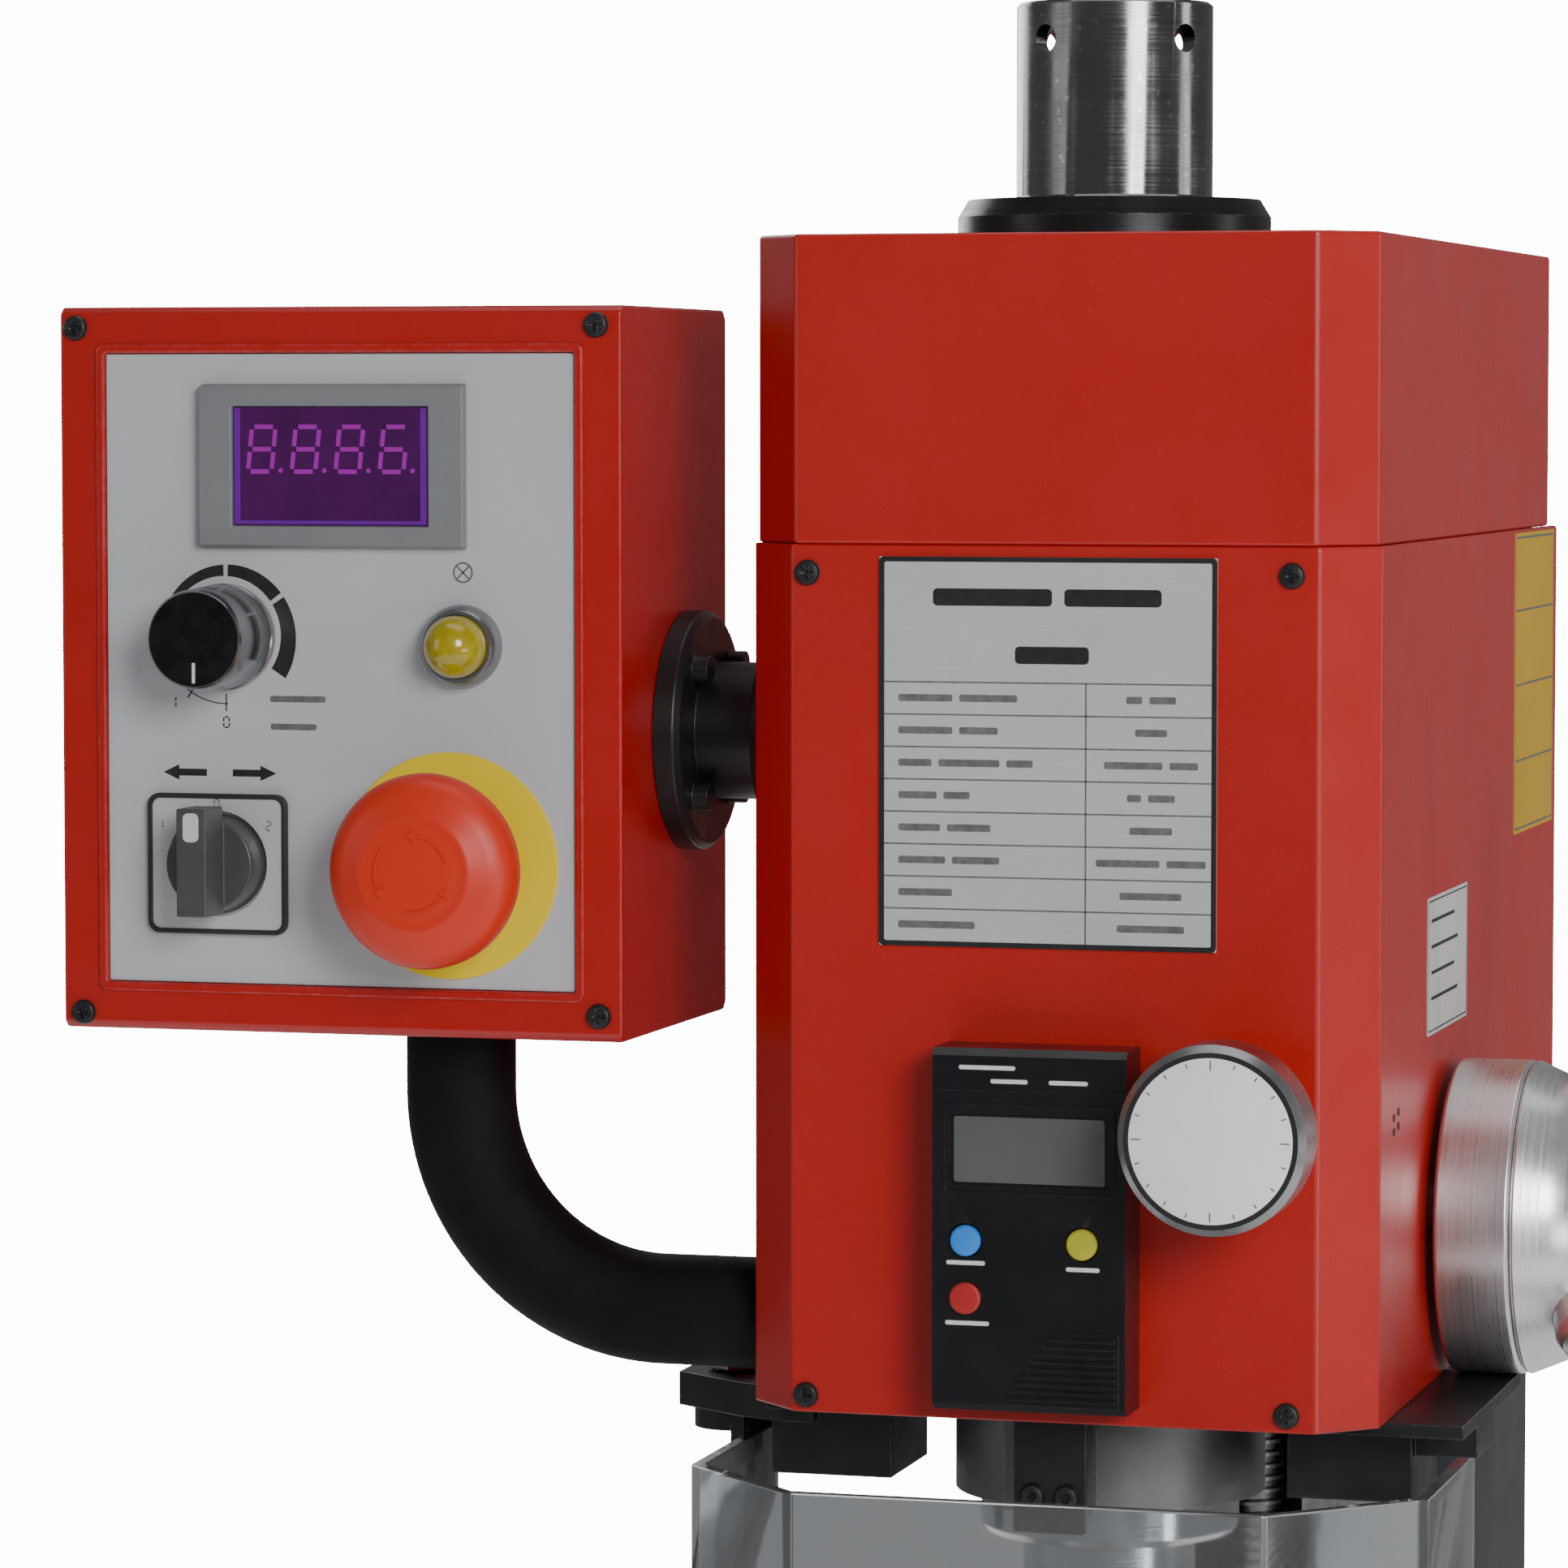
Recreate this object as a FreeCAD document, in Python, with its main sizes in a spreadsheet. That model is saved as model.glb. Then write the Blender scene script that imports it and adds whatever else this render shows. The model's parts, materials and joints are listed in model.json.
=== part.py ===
import FreeCAD, Part
import os
import re

import Sketcher

# Bench vertical milling machine: base, column, cross slide table and a belt-driven head.
# +X is to the operator's right, +Y to the back, +Z up. The origin is the centre of the
# base's footprint, on the surface that the machine stands on. All sizes are millimetres.

os.makedirs("parts", exist_ok=True)
doc = FreeCAD.newDocument("vertical_mill")

DIMENSIONS = {
    # fits
    "running_gap": 0.05,
    "seat_gap": 0.02,
    # base
    "foot_half_width": 140,
    "foot_half_length": 235,
    "foot_height": 25,
    "base_half": 90,
    "base_top": 96,
    "foot_hole_x": 115,
    "foot_hole_y": 205,
    "foot_hole_radius": 6,
    "base_way_root": 50,
    "base_way_edge": 58,
    "base_way_top": 110,
    "base_way_back": 62,
    # column
    "ways_front": 90,
    "column_front": 110,
    "column_back": 220,
    "column_half": 70,
    "column_top": 885,
    "column_way_root": 44,
    "column_way_edge": 56,
    "column_bolt_x": 79.5,
    # saddle and table
    "saddle_half_width": 85,
    "saddle_half_length": 62,
    "table_half_length": 297.5,
    "table_half_width": 70,
    "table_top": 200,
    "table_under": 150,
    "slot_half_neck": 6,
    "slot_half_wide": 10,
    "slot_lip": 9,
    "slot_depth": 17,
    "slot_pitch": 40,
    "table_way_root": 38,
    "table_way_edge": 46,
    "table_way_top": 162,
    # screws and handwheels
    "screw_radius": 8,
    "journal_radius": 6,
    "x_screw_height": 165,
    "y_screw_height": 70,
    "z_screw_y": 112,
    "z_screw_radius": 9,
    "crank_height": 200,
    "wheel_radius": 45,
    "grip_offset": 31,
    "grip_radius": 9,
    "grip_length": 52,
    "pin_radius": 3,
    # head
    "spindle_y": -110,
    "head_front": -186,
    "housing_back": 144,
    "housing_half": 90,
    "cover_half": 89,
    "cover_back": 131,
    "corner": 15,
    "shell": 3,
    "housing_bottom": 590,
    "housing_seam": 835,
    "cover_top": 921.5,
    "boss_radius": 45,
    "boss_bottom": 560,
    "boss_top": 815,
    "carriage_bottom": 603,
    "carriage_top": 833,
    "tube_radius": 28.2,
    "tube_top": 988.8,
    # spindle drive
    "motor_y": 4,
    "motor_radius": 45,
    "motor_wheel": 20,
    "sleeve_wheel": 38,
    "belt_low": 896,
    "belt_high": 910,
    "sleeve_radius": 20,
    # quill and spindle
    "quill_radius": 37.5,
    "quill_bottom": 548,
    "quill_top": 778,
    "nose": 530,
    "spindle_radius": 25,
    "spline_radius": 11,
    "spindle_top": 961,
    # quill feed
    "feed_y": -58,
    "feed_height": 636,
    "pinion_radius": 15,
    "dial_radius": 46,
    "worm_x": 54.5,
    "worm_height": 676,
    "fine_knob_radius": 26,
    # front of the head
    "plate_centre": -1.4,
    "plate_half": 48,
    "dro_left": -29.6,
    "dro_right": 25.3,
    "dro_bottom": 595.5,
    "dro_top": 696.4,
    "dro_depth": 18,
    # control box
    "box_left": -295,
    "box_right": -125,
    "box_bottom": 693,
    "box_top": 902,
    "box_back": -81,
    "panel_left": -281,
    "panel_right": -139,
    "panel_bottom": 707,
    "panel_top": 888.6,
    "panel_face": -185.5,
    "speed_x": -244.4,
    "speed_z": 807.3,
    "lamp_x": -172.4,
    "lamp_z": 805.3,
    "stop_x": -176.5,
    "stop_z": 742.5,
    "selector_x": -246.7,
    "selector_z": 741.9,
    "arm_y": -122,
    "arm_z": 779,
    "arm_radius": 20,
    # conduit
    "conduit_x": -186,
    "conduit_y": -148,
    "conduit_z": 612,
    "conduit_radius": 16,
    "conduit_wall": 2,
    "conduit_bend": 62,
    # spindle guard
    "guard_half": 106,
    "guard_front": -220,
    "guard_back": -104,
    "guard_cut": 38,
    "guard_wall": 4,
    "guard_bottom": 495,
    "guard_top": 573,
    "hinge_x": -112,
    "hinge_y": -116,
}

sheet = doc.addObject("Spreadsheet::Sheet", "dimensions")
for row, (alias, size) in enumerate(DIMENSIONS.items(), 1):
    sheet.set(f"A{row}", alias)
    sheet.set(f"B{row}", str(size))
    sheet.setAlias(f"B{row}", alias)
doc.recompute()

WORD = re.compile(r"[a-z][a-z_]*")
TURN = {
    "x": FreeCAD.Rotation(FreeCAD.Vector(0, 1, 0), 90),
    "y": FreeCAD.Rotation(FreeCAD.Vector(1, 0, 0), -90),
    "z": FreeCAD.Rotation(),
}
NODES = {}


def bound(text):
    """The text as an expression, with each dimension's name read from the sheet."""
    return WORD.sub(lambda m: "dimensions." + m.group() if m.group() in DIMENSIONS else m.group(), text)


def value(text):
    return float(sheet.evalExpression(bound(text)))


def drive(thing, prop, text, number_set):
    """Bind a property to the sheet, or set it where the text is a plain number."""
    if any(word in DIMENSIONS for word in WORD.findall(text)):
        thing.setExpression(prop, bound(text))
    else:
        number_set(value(text))


def size(thing, **sizes):
    for prop, text in sizes.items():
        drive(thing, prop, text, lambda number, prop=prop: setattr(thing, prop, number))


def place(thing, x, y, z, rotation=TURN["z"]):
    thing.Placement = FreeCAD.Placement(FreeCAD.Vector(value(x), value(y), value(z)), rotation)
    for axis, text in (("x", x), ("y", y), ("z", z)):
        drive(thing, f"Placement.Base.{axis}", text, lambda number: None)
    return thing


def at(axis, first, second, along):
    """Coordinates x, y, z of a point: `along` the axis, and the other two in their order."""
    order = {"x": (along, first, second), "y": (first, along, second), "z": (first, second, along)}
    return order[axis]


def box(x, y, z):
    """A block from the low to the high end of each pair."""
    block = doc.addObject("Part::Box", "block")
    size(block, Length=f"{x[1]} - ({x[0]})", Width=f"{y[1]} - ({y[0]})", Height=f"{z[1]} - ({z[0]})")
    return place(block, x[0], y[0], z[0])


def rod(axis, first, second, low, high, radius):
    shaft = doc.addObject("Part::Cylinder", "shaft")
    size(shaft, Radius=radius, Height=f"{high} - ({low})")
    return place(shaft, *at(axis, first, second, low), TURN[axis])


def cone(axis, first, second, low, high, radius_low, radius_high):
    taper = doc.addObject("Part::Cone", "taper")
    size(taper, Radius1=radius_low, Radius2=radius_high, Height=f"{high} - ({low})")
    return place(taper, *at(axis, first, second, low), TURN[axis])


def ball(x, y, z, radius):
    sphere = doc.addObject("Part::Sphere", "sphere")
    size(sphere, Radius=radius)
    return place(sphere, x, y, z)


def hexagon(axis, first, second, low, high, radius):
    prism = doc.addObject("Part::Prism", "hexagon")
    prism.Polygon = 6
    size(prism, Circumradius=radius, Height=f"{high} - ({low})")
    return place(prism, *at(axis, first, second, low), TURN[axis])


def outline(body, role, points):
    """A closed sketch of straight lines on one of the body's own planes, each corner dimensioned."""
    sketch = body.newObject("Sketcher::SketchObject", "outline")
    flat = next(f for f in body.Origin.OriginFeatures if f.Role == role)
    sketch.AttachmentSupport = (flat, "")
    sketch.MapMode = "FlatFace"
    corners = [FreeCAD.Vector(value(u), value(v), 0) for u, v in points]
    for start, end in zip(corners, corners[1:] + corners[:1]):
        sketch.addGeometry(Part.LineSegment(start, end))
    count = len(points)
    for index in range(count):
        sketch.addConstraint(Sketcher.Constraint("Coincident", index, 2, (index + 1) % count, 1))
    for index, corner in enumerate(corners):
        for kind, text, number in zip(("DistanceX", "DistanceY"), points[index], corner):
            rule = sketch.addConstraint(Sketcher.Constraint(kind, -1, 1, index, 1, number))
            drive(sketch, f"Constraints[{rule}]", text, lambda number: None)
    return sketch


def pad(axis, points, low, high):
    """A prism along the axis. Points are the other two coordinates, in their order."""
    body = doc.addObject("PartDesign::Body", "prism")
    role = {"x": "YZ_Plane", "y": "XZ_Plane", "z": "XY_Plane"}[axis]
    extrusion = body.newObject("PartDesign::Pad", "extrusion")
    extrusion.Profile = outline(body, role, points)
    size(extrusion, Length=f"{high} - ({low})")
    body.Tip = extrusion
    start = high if axis == "y" else low
    return place(body, *at(axis, "0", "0", start))


def turned(axis, first, second, points):
    """A turned piece. Points are (station along the axis, radius)."""
    body = doc.addObject("PartDesign::Body", "turned")
    lathe = body.newObject("PartDesign::Revolution", "lathe")
    profile = outline(body, "XZ_Plane", [(radius, station) for station, radius in points])
    lathe.Profile = profile
    lathe.ReferenceAxis = (profile, ["V_Axis"])
    lathe.Angle = 360
    body.Tip = lathe
    return place(body, *at(axis, first, second, "0"), TURN[axis])


def fuse(*pieces):
    joined = doc.addObject("Part::MultiFuse", "joined")
    joined.Shapes = list(pieces)
    joined.Refine = True
    return joined


def cut(piece, *tools):
    bundle = doc.addObject("Part::Compound", "cutters")
    bundle.Links = list(tools)
    remainder = doc.addObject("Part::Cut", "remainder")
    remainder.Base = piece
    remainder.Tool = bundle
    remainder.Refine = True
    return remainder


def group(*pieces):
    """Identical fasteners that share a node as separate solids."""
    bundle = doc.addObject("Part::Compound", "set")
    bundle.Links = list(pieces)
    return bundle


def node(name, piece):
    piece.Label = name
    NODES[name] = piece


def sorted_pair(first, second):
    return (first, second) if value(first) < value(second) else (second, first)


def mirrored(points):
    """The outline with its other half: points of the +u half from one end to the other."""
    other = [(f"-({u})", v) for u, v in reversed(points)]
    return points + other


# ---------------------------------------------------------------- base and column

SIDES = ("-1", "1")
foot_corner = "20"
foot = pad("z", mirrored([
    (f"foot_half_width - {foot_corner}", "-foot_half_length"),
    ("foot_half_width", f"{foot_corner} - foot_half_length"),
    ("foot_half_width", f"foot_half_length - {foot_corner}"),
    (f"foot_half_width - {foot_corner}", "foot_half_length"),
]), "0", "foot_height")
bed = box(("-base_half", "base_half"), ("-foot_half_length", "foot_half_length"), ("foot_height", "base_top"))
bed_ways = pad("y", mirrored([
    ("base_way_root", "base_top"),
    ("base_way_edge", "base_way_top"),
]), "-foot_half_length", "base_way_back")
foot_holes = [
    rod("z", f"{sx} * foot_hole_x", f"{sy} * foot_hole_y", "-1", "foot_height + 1", "foot_hole_radius")
    for sx in SIDES for sy in SIDES
]
BOLT_Y = ("125", "205")
bolt_threads = [
    rod("z", f"{sx} * column_bolt_x", y, "base_top - 20", "base_top + 1", "4 + seat_gap")
    for sx in SIDES for y in BOLT_Y
]
node("base_casting", cut(
    fuse(foot, bed, bed_ways),
    box(("-16", "16"), ("-foot_half_length - 1", "base_way_back + 1"), ("55", "base_way_top + 1")),
    box(("-78", "78"), ("-220", "220"), ("-1", "42")),
    *[box(sorted_pair(f"{sx} * 26", f"{sx} * 78"), ("-220", "220"), ("40", "84")) for sx in SIDES],
    *foot_holes,
    *bolt_threads,
))

column_ways = pad("z", mirrored([
    ("column_way_root", "column_front"),
    ("column_way_edge", "ways_front"),
]), "135", "column_top")
column_bolt_holes = [
    rod("z", f"{sx} * column_bolt_x", y, "base_top - 1", "base_top + 23", "4.5")
    for sx in SIDES for y in BOLT_Y
]
node("column", cut(
    fuse(
        box(("-column_half", "column_half"), ("column_front", "column_back"), ("base_top", "column_top")),
        box(("-88", "88"), ("94", "232"), ("base_top", "base_top + 22")),
        column_ways,
    ),
    box(("-18", "18"), ("ways_front - 1", "135"), ("150", "column_top + 1")),
    box(("-59", "59"), ("146", "210"), ("base_top - 1", "column_top + 1")),
    rod("x", "z_screw_y", "crank_height", "17", "column_half + 1", "15"),
    rod("z", "0", "z_screw_y", "138", "151", "journal_radius + running_gap"),
    *column_bolt_holes,
))
node("column_cap", cut(
    pad("z", mirrored([
        ("64", "86"),
        ("74", "96"),
        ("74", "216"),
        ("66", "224"),
    ]), "column_top", "column_top + 12"),
    rod("z", "0", "z_screw_y", "column_top - 1", "column_top + 13", "journal_radius + running_gap"),
))
node("column_bolts", group(*[
    fuse(
        rod("z", f"{sx} * column_bolt_x", y, "base_top - 18", "base_top + 22", "4"),
        rod("z", f"{sx} * column_bolt_x", y, "base_top + 22", "base_top + 30", "6.5"),
    )
    for sx in SIDES for y in BOLT_Y
]))
node("y_bearing_block", cut(
    box(("-32", "32"), ("-foot_half_length - 14", "-foot_half_length"), ("44", "base_top")),
    rod("y", "0", "y_screw_height", "-foot_half_length - 15", "-foot_half_length + 1",
        "journal_radius + running_gap"),
))
node("z_bearing_block", cut(
    turned("x", "z_screw_y", "crank_height", [
        ("column_half", "0"), ("column_half", "26"), ("column_half + 7", "26"),
        ("column_half + 9", "18"), ("column_half + 22", "16"), ("column_half + 22", "0"),
    ]),
    rod("x", "z_screw_y", "crank_height", "column_half - 1", "column_half + 23",
        "screw_radius + running_gap"),
))

# ---------------------------------------------------------------- saddle and table

saddle_x = ("-saddle_half_width", "saddle_half_width")
saddle_y = ("spindle_y - saddle_half_length", "spindle_y + saddle_half_length")
saddle_block = box(saddle_x, saddle_y, ("base_top + running_gap", "table_under - running_gap"))
table_way = pad("x", [
    ("spindle_y - table_way_root + running_gap", "table_under - running_gap"),
    ("spindle_y + table_way_root - running_gap", "table_under - running_gap"),
    ("spindle_y + table_way_edge - running_gap", "table_way_top - running_gap"),
    ("spindle_y - table_way_edge + running_gap", "table_way_top - running_gap"),
], *saddle_x)
bed_groove = pad("y", mirrored([
    ("base_way_root + running_gap", "base_top"),
    ("base_way_edge + running_gap", "base_way_top + running_gap"),
]), "spindle_y - saddle_half_length - 1", "spindle_y + saddle_half_length + 1")
node("saddle", cut(
    fuse(saddle_block, table_way),
    box(("-saddle_half_width - 1", "saddle_half_width + 1"), ("spindle_y - 14", "spindle_y + 14"),
        ("table_under", "table_way_top + 1")),
    bed_groove,
    rod("y", "70", "136", "spindle_y - saddle_half_length - 1", "spindle_y - saddle_half_length + 20",
        "4.05"),
))
node("y_nut", cut(
    box(("-13", "13"), ("spindle_y - 18", "spindle_y + 18"), ("58", "base_way_top + running_gap")),
    rod("y", "0", "y_screw_height", "spindle_y - 19", "spindle_y + 19", "screw_radius + running_gap"),
))
node("x_nut", cut(
    box(("-18", "18"), ("spindle_y - 12", "spindle_y + 12"), ("table_under", "175")),
    rod("x", "spindle_y", "x_screw_height", "-19", "19", "screw_radius + running_gap"),
))
lock_face = "spindle_y - saddle_half_length"
node("table_lock", fuse(
    rod("y", "70", "136", f"{lock_face} - 12", f"{lock_face} + 15", "4"),
    rod("y", "70", "136", f"{lock_face} - 13", f"{lock_face} - 1", "8"),
    rod("z", "70", f"{lock_face} - 7", "108", "132", "3"),
    ball("70", f"{lock_face} - 7", "106", "6.5"),
))

slots = [("table_half_width", "table_top")]
for centre in ("slot_pitch", "0", "-slot_pitch"):
    slots += [
        (f"{centre} + slot_half_neck", "table_top"),
        (f"{centre} + slot_half_neck", "table_top - slot_lip"),
        (f"{centre} + slot_half_wide", "table_top - slot_lip"),
        (f"{centre} + slot_half_wide", "table_top - slot_depth"),
        (f"{centre} - slot_half_wide", "table_top - slot_depth"),
        (f"{centre} - slot_half_wide", "table_top - slot_lip"),
        (f"{centre} - slot_half_neck", "table_top - slot_lip"),
        (f"{centre} - slot_half_neck", "table_top"),
    ]
slots += [("-table_half_width", "table_top")]
underside = [
    ("-table_half_width", "table_under + 8"),
    ("6 - table_half_width", "table_under"),
    ("-table_way_root", "table_under"),
    ("-table_way_edge", "table_way_top"),
    ("-14", "table_way_top"),
    ("-14", "176"),
    ("14", "176"),
    ("14", "table_way_top"),
    ("table_way_edge", "table_way_top"),
    ("table_way_root", "table_under"),
    ("table_half_width - 6", "table_under"),
    ("table_half_width", "table_under + 8"),
]
section = [(f"spindle_y + {u}", v) for u, v in slots + underside]
node("table", pad("x", section, "-table_half_length", "table_half_length"))


def end_bracket(name, side, low, high):
    plate = box((low, high), ("spindle_y - 42", "spindle_y + 42"), ("table_under + 2", "table_top - 19"))
    bearing = rod("x", "spindle_y", "x_screw_height", low, high, "17")
    bore = rod("x", "spindle_y", "x_screw_height", f"{low} - 1", f"{high} + 1",
               "journal_radius + running_gap")
    node(name, cut(fuse(plate, bearing), bore))


end_bracket("left_end_bracket", "-1", "-table_half_length - 14", "-table_half_length")
end_bracket("right_end_bracket", "1", "table_half_length", "table_half_length + 14")

# ---------------------------------------------------------------- leadscrews and handwheels

# Stations outward along a handwheel's shaft, from the bearing face: a graduated collar,
# a dished web, a rim, and the pin that carries the free-turning grip.
WHEEL = [
    ("1", "journal_radius + seat_gap"), ("1", "21"), ("11", "22"), ("11", "17"), ("18", "15"), ("20", "36"),
    ("16", "38"), ("16", "wheel_radius - 2"), ("18", "wheel_radius"), ("27", "wheel_radius"),
    ("29", "wheel_radius - 2"), ("29", "38"), ("25", "36"), ("25", "15"), ("32", "13"),
    ("32", "journal_radius + seat_gap"),
]


def handwheel(wheel_name, grip_name, axis, first, second, face, way):
    """A handwheel outward from a bearing face, in the direction `way` (+1 or -1) along the axis."""
    def out(station):
        return f"{face} + {way} * ({station})"

    def span(near, far):
        ends = (out(near), out(far))
        return ends if way == "1" else ends[::-1]

    pin_second = f"{second} + grip_offset"
    wheel = turned(axis, first, second, [(out(station), radius) for station, radius in WHEEL])
    pin = rod(axis, first, pin_second, *span("24", "26 + grip_length"), "pin_radius")
    cap = rod(axis, first, pin_second, *span("26 + grip_length", "28 + grip_length"), "5")
    node(wheel_name, fuse(wheel, pin, cap))
    grip = [
        ("25.5", "6"), ("32", "7"), ("40", "grip_radius"), ("grip_length + 14", "grip_radius + 1"),
        ("grip_length + 23", "grip_radius - 1"), ("grip_length + 25.5", "6"),
        ("grip_length + 25.5", "pin_radius + running_gap"), ("25.5", "pin_radius + running_gap"),
    ]
    stations = [("29.5" if station == "25.5" else station, radius) for station, radius in grip]
    node(grip_name, turned(axis, first, pin_second, [(out(s), r) for s, r in stations]))


node("x_leadscrew", fuse(
    rod("x", "spindle_y", "x_screw_height", "-table_half_length - 47", "table_half_length + 47",
        "journal_radius"),
    rod("x", "spindle_y", "x_screw_height", "0.5 - table_half_length", "table_half_length - 0.5",
        "screw_radius"),
))
handwheel("x_handwheel_right", "x_handle_right", "x", "spindle_y", "x_screw_height",
          "table_half_length + 14", "1")
handwheel("x_handwheel_left", "x_handle_left", "x", "spindle_y", "x_screw_height",
          "-table_half_length - 14", "-1")

node("y_leadscrew", fuse(
    rod("y", "0", "y_screw_height", "-foot_half_length - 47", "-foot_half_length + 5", "journal_radius"),
    rod("y", "0", "y_screw_height", "-foot_half_length + 0.5", "20", "screw_radius"),
))
handwheel("y_handwheel", "y_handle", "y", "0", "y_screw_height", "-foot_half_length - 14", "-1")

node("z_crank_shaft", turned("x", "z_screw_y", "crank_height", [
    ("10", "0"), ("10", "8"), ("16.5", "14"), ("19", "14"), ("19", "screw_radius"),
    ("column_half + 22.5", "screw_radius"), ("column_half + 22.5", "journal_radius"),
    ("column_half + 55", "journal_radius"), ("column_half + 55", "0"),
]))
handwheel("z_handwheel", "z_handle", "x", "z_screw_y", "crank_height", "column_half + 22", "1")
node("z_leadscrew", turned("z", "0", "z_screw_y", [
    ("141", "0"), ("141", "journal_radius"), ("152", "journal_radius"), ("152", "9"), ("180", "9"),
    ("180", "14"), ("183.5", "14"), ("190", "8"), ("216", "8"), ("216", "z_screw_radius"),
    ("column_top - 12", "z_screw_radius"), ("column_top - 12", "journal_radius"),
    ("column_top + 11", "journal_radius"), ("column_top + 11", "0"),
]))

# ---------------------------------------------------------------- head

node("z_carriage", pad("z", mirrored([
    ("80", "50"),
    ("80", "column_front - 3"),
    ("column_way_root + 1.8 + running_gap", "column_front - 3"),
    ("column_way_edge + running_gap", "ways_front - running_gap"),
]), "carriage_bottom", "carriage_top"))
node("z_nut", cut(
    box(("-15", "15"), ("ways_front - running_gap", "130"), ("697", "737")),
    rod("z", "0", "z_screw_y", "696", "738", "z_screw_radius + running_gap"),
))

boss = rod("z", "0", "spindle_y", "boss_bottom", "boss_top", "boss_radius")
web = box(("-44", "44"), ("spindle_y", "45"), ("598", "793"))
flange = box(("shell - housing_half", "housing_half - shell"), ("36", "50"), ("612", "793"))
pickup_pad = box(("-20", "6"), ("head_front + 28", "head_front + 50"), ("boss_bottom", "housing_bottom"))
worm_bearing = box(("40", "68"), ("-106", "-90"), ("662", "690"))
node("head_casting", cut(
    fuse(boss, web, flange, pickup_pad, worm_bearing),
    rod("z", "0", "spindle_y", "boss_bottom - 1", "quill_top + 10", "quill_radius + running_gap"),
    rod("z", "0", "spindle_y", "quill_top", "boss_top + 1", "sleeve_radius + running_gap"),
    rod("x", "feed_y", "feed_height", "-46", "0", "10 + running_gap"),
    rod("x", "feed_y", "feed_height", "-12", "69", "pinion_radius + 0.4"),
    rod("y", "worm_x", "worm_height", "-107", "-89", "journal_radius + running_gap"),
))


def shell_outline(half, back, wall):
    """The U-shaped plan of a sheet shell with chamfered front corners, open at the back."""
    trim = f"{wall} * 0.586"
    return [
        (f"-{half} + {wall}", back),
        (f"-{half} + {wall}", f"head_front + corner + {trim}"),
        (f"-{half} + corner + {trim}", f"head_front + {wall}"),
        (f"{half} - corner - {trim}", f"head_front + {wall}"),
        (f"{half} - {wall}", f"head_front + corner + {trim}"),
        (f"{half} - {wall}", back),
    ]


def shell_wall(half, back):
    outer = shell_outline(half, back, "0")
    inner = shell_outline(half, back, "shell")
    return outer + inner[::-1]


housing_floor = pad("z", shell_outline("housing_half", "80", "shell * 0.5"),
                    "housing_bottom", "housing_bottom + shell")
node("head_housing", cut(
    fuse(
        pad("z", shell_wall("housing_half", "housing_back"), "housing_bottom", "housing_seam"),
        housing_floor,
    ),
    rod("z", "0", "spindle_y", "housing_bottom - 1", "housing_bottom + shell + 1", "boss_radius + 1"),
    rod("y", "worm_x", "worm_height", "head_front - 1", "head_front + shell + 1", "14"),
    rod("x", "feed_y", "feed_height", "housing_half - shell - 1", "housing_half + 1", "13"),
    rod("x", "arm_y", "arm_z", "-housing_half - 1", "shell + 1 - housing_half", "12"),
    rod("x", "conduit_y", "conduit_z", "-housing_half - 1", "shell + 1 - housing_half", "10"),
))
cover_roof = pad("z", shell_outline("cover_half", "80", "shell * 0.5"), "cover_top - shell", "cover_top")
cover_rear = box(("shell * 0.5 - cover_half", "cover_half - shell * 0.5"), ("77", "80"),
                 ("housing_seam", "cover_top"))
node("top_cover", cut(
    fuse(
        pad("z", shell_wall("cover_half", "cover_back"), "housing_seam", "cover_top"),
        cover_roof,
        cover_rear,
    ),
    rod("z", "0", "spindle_y", "cover_top - shell - 1", "cover_top + 1", "24"),
))
tube = turned("z", "0", "spindle_y", [
    ("cover_top", "24"), ("cover_top", "boss_radius"), ("cover_top + 6", "boss_radius"),
    ("cover_top + 11", "boss_radius - 3"), ("cover_top + 11", "tube_radius + 1"),
    ("cover_top + 12", "tube_radius"), ("tube_top - 1", "tube_radius"), ("tube_top", "tube_radius - 1"),
    ("tube_top", "24"),
])
tube_holes = []
for angle in (-32, 58):
    hole = rod("x", "spindle_y", "tube_top - 11", "0", "0", "4")
    size(hole, Height="90")
    for axis in "yz":
        hole.setExpression(f"Placement.Base.{axis}", None)
    radial = FreeCAD.Rotation(FreeCAD.Vector(0, 0, 1), angle)
    hole.Placement = FreeCAD.Placement(
        FreeCAD.Vector(0, value("spindle_y"), value("tube_top - 11")) - radial.multVec(FreeCAD.Vector(45, 0, 0)),
        radial.multiply(TURN["x"]),
    )
    tube_holes.append(hole)
node("spindle_tube", cut(tube, *tube_holes))

# ---------------------------------------------------------------- spindle drive

node("motor", cut(
    turned("z", "0", "motor_y", [
        ("793", "0"), ("793", "motor_radius"), ("799", "motor_radius"), ("801", "motor_radius - 2"),
        ("876", "motor_radius - 2"), ("878", "motor_radius"), ("885", "motor_radius"),
        ("887", "motor_radius - 2"), ("887", "0"),
    ]),
    rod("z", "0", "motor_y", "827", "888", "7 + running_gap"),
))
node("motor_pulley", turned("z", "0", "motor_y", [
    ("829", "0"), ("829", "7"), ("892", "7"), ("892", "motor_wheel + 3"), ("894", "motor_wheel + 3"),
    ("894", "motor_wheel"), ("912", "motor_wheel"), ("912", "motor_wheel + 3"), ("914", "motor_wheel + 3"),
    ("914", "0"),
]))
node("drive_sleeve", turned("z", "0", "spindle_y", [
    ("790", "spline_radius + running_gap"), ("790", "sleeve_radius"), ("815.1", "sleeve_radius"),
    ("815.1", "24"), ("820", "24"), ("820", "18"), ("892", "18"), ("892", "sleeve_wheel + 3"),
    ("894", "sleeve_wheel + 3"), ("894", "sleeve_wheel"), ("912", "sleeve_wheel"),
    ("912", "sleeve_wheel + 3"), ("914", "sleeve_wheel + 3"), ("914", "18"), ("916", "18"),
    ("916", "spline_radius + running_gap"),
]))


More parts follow.
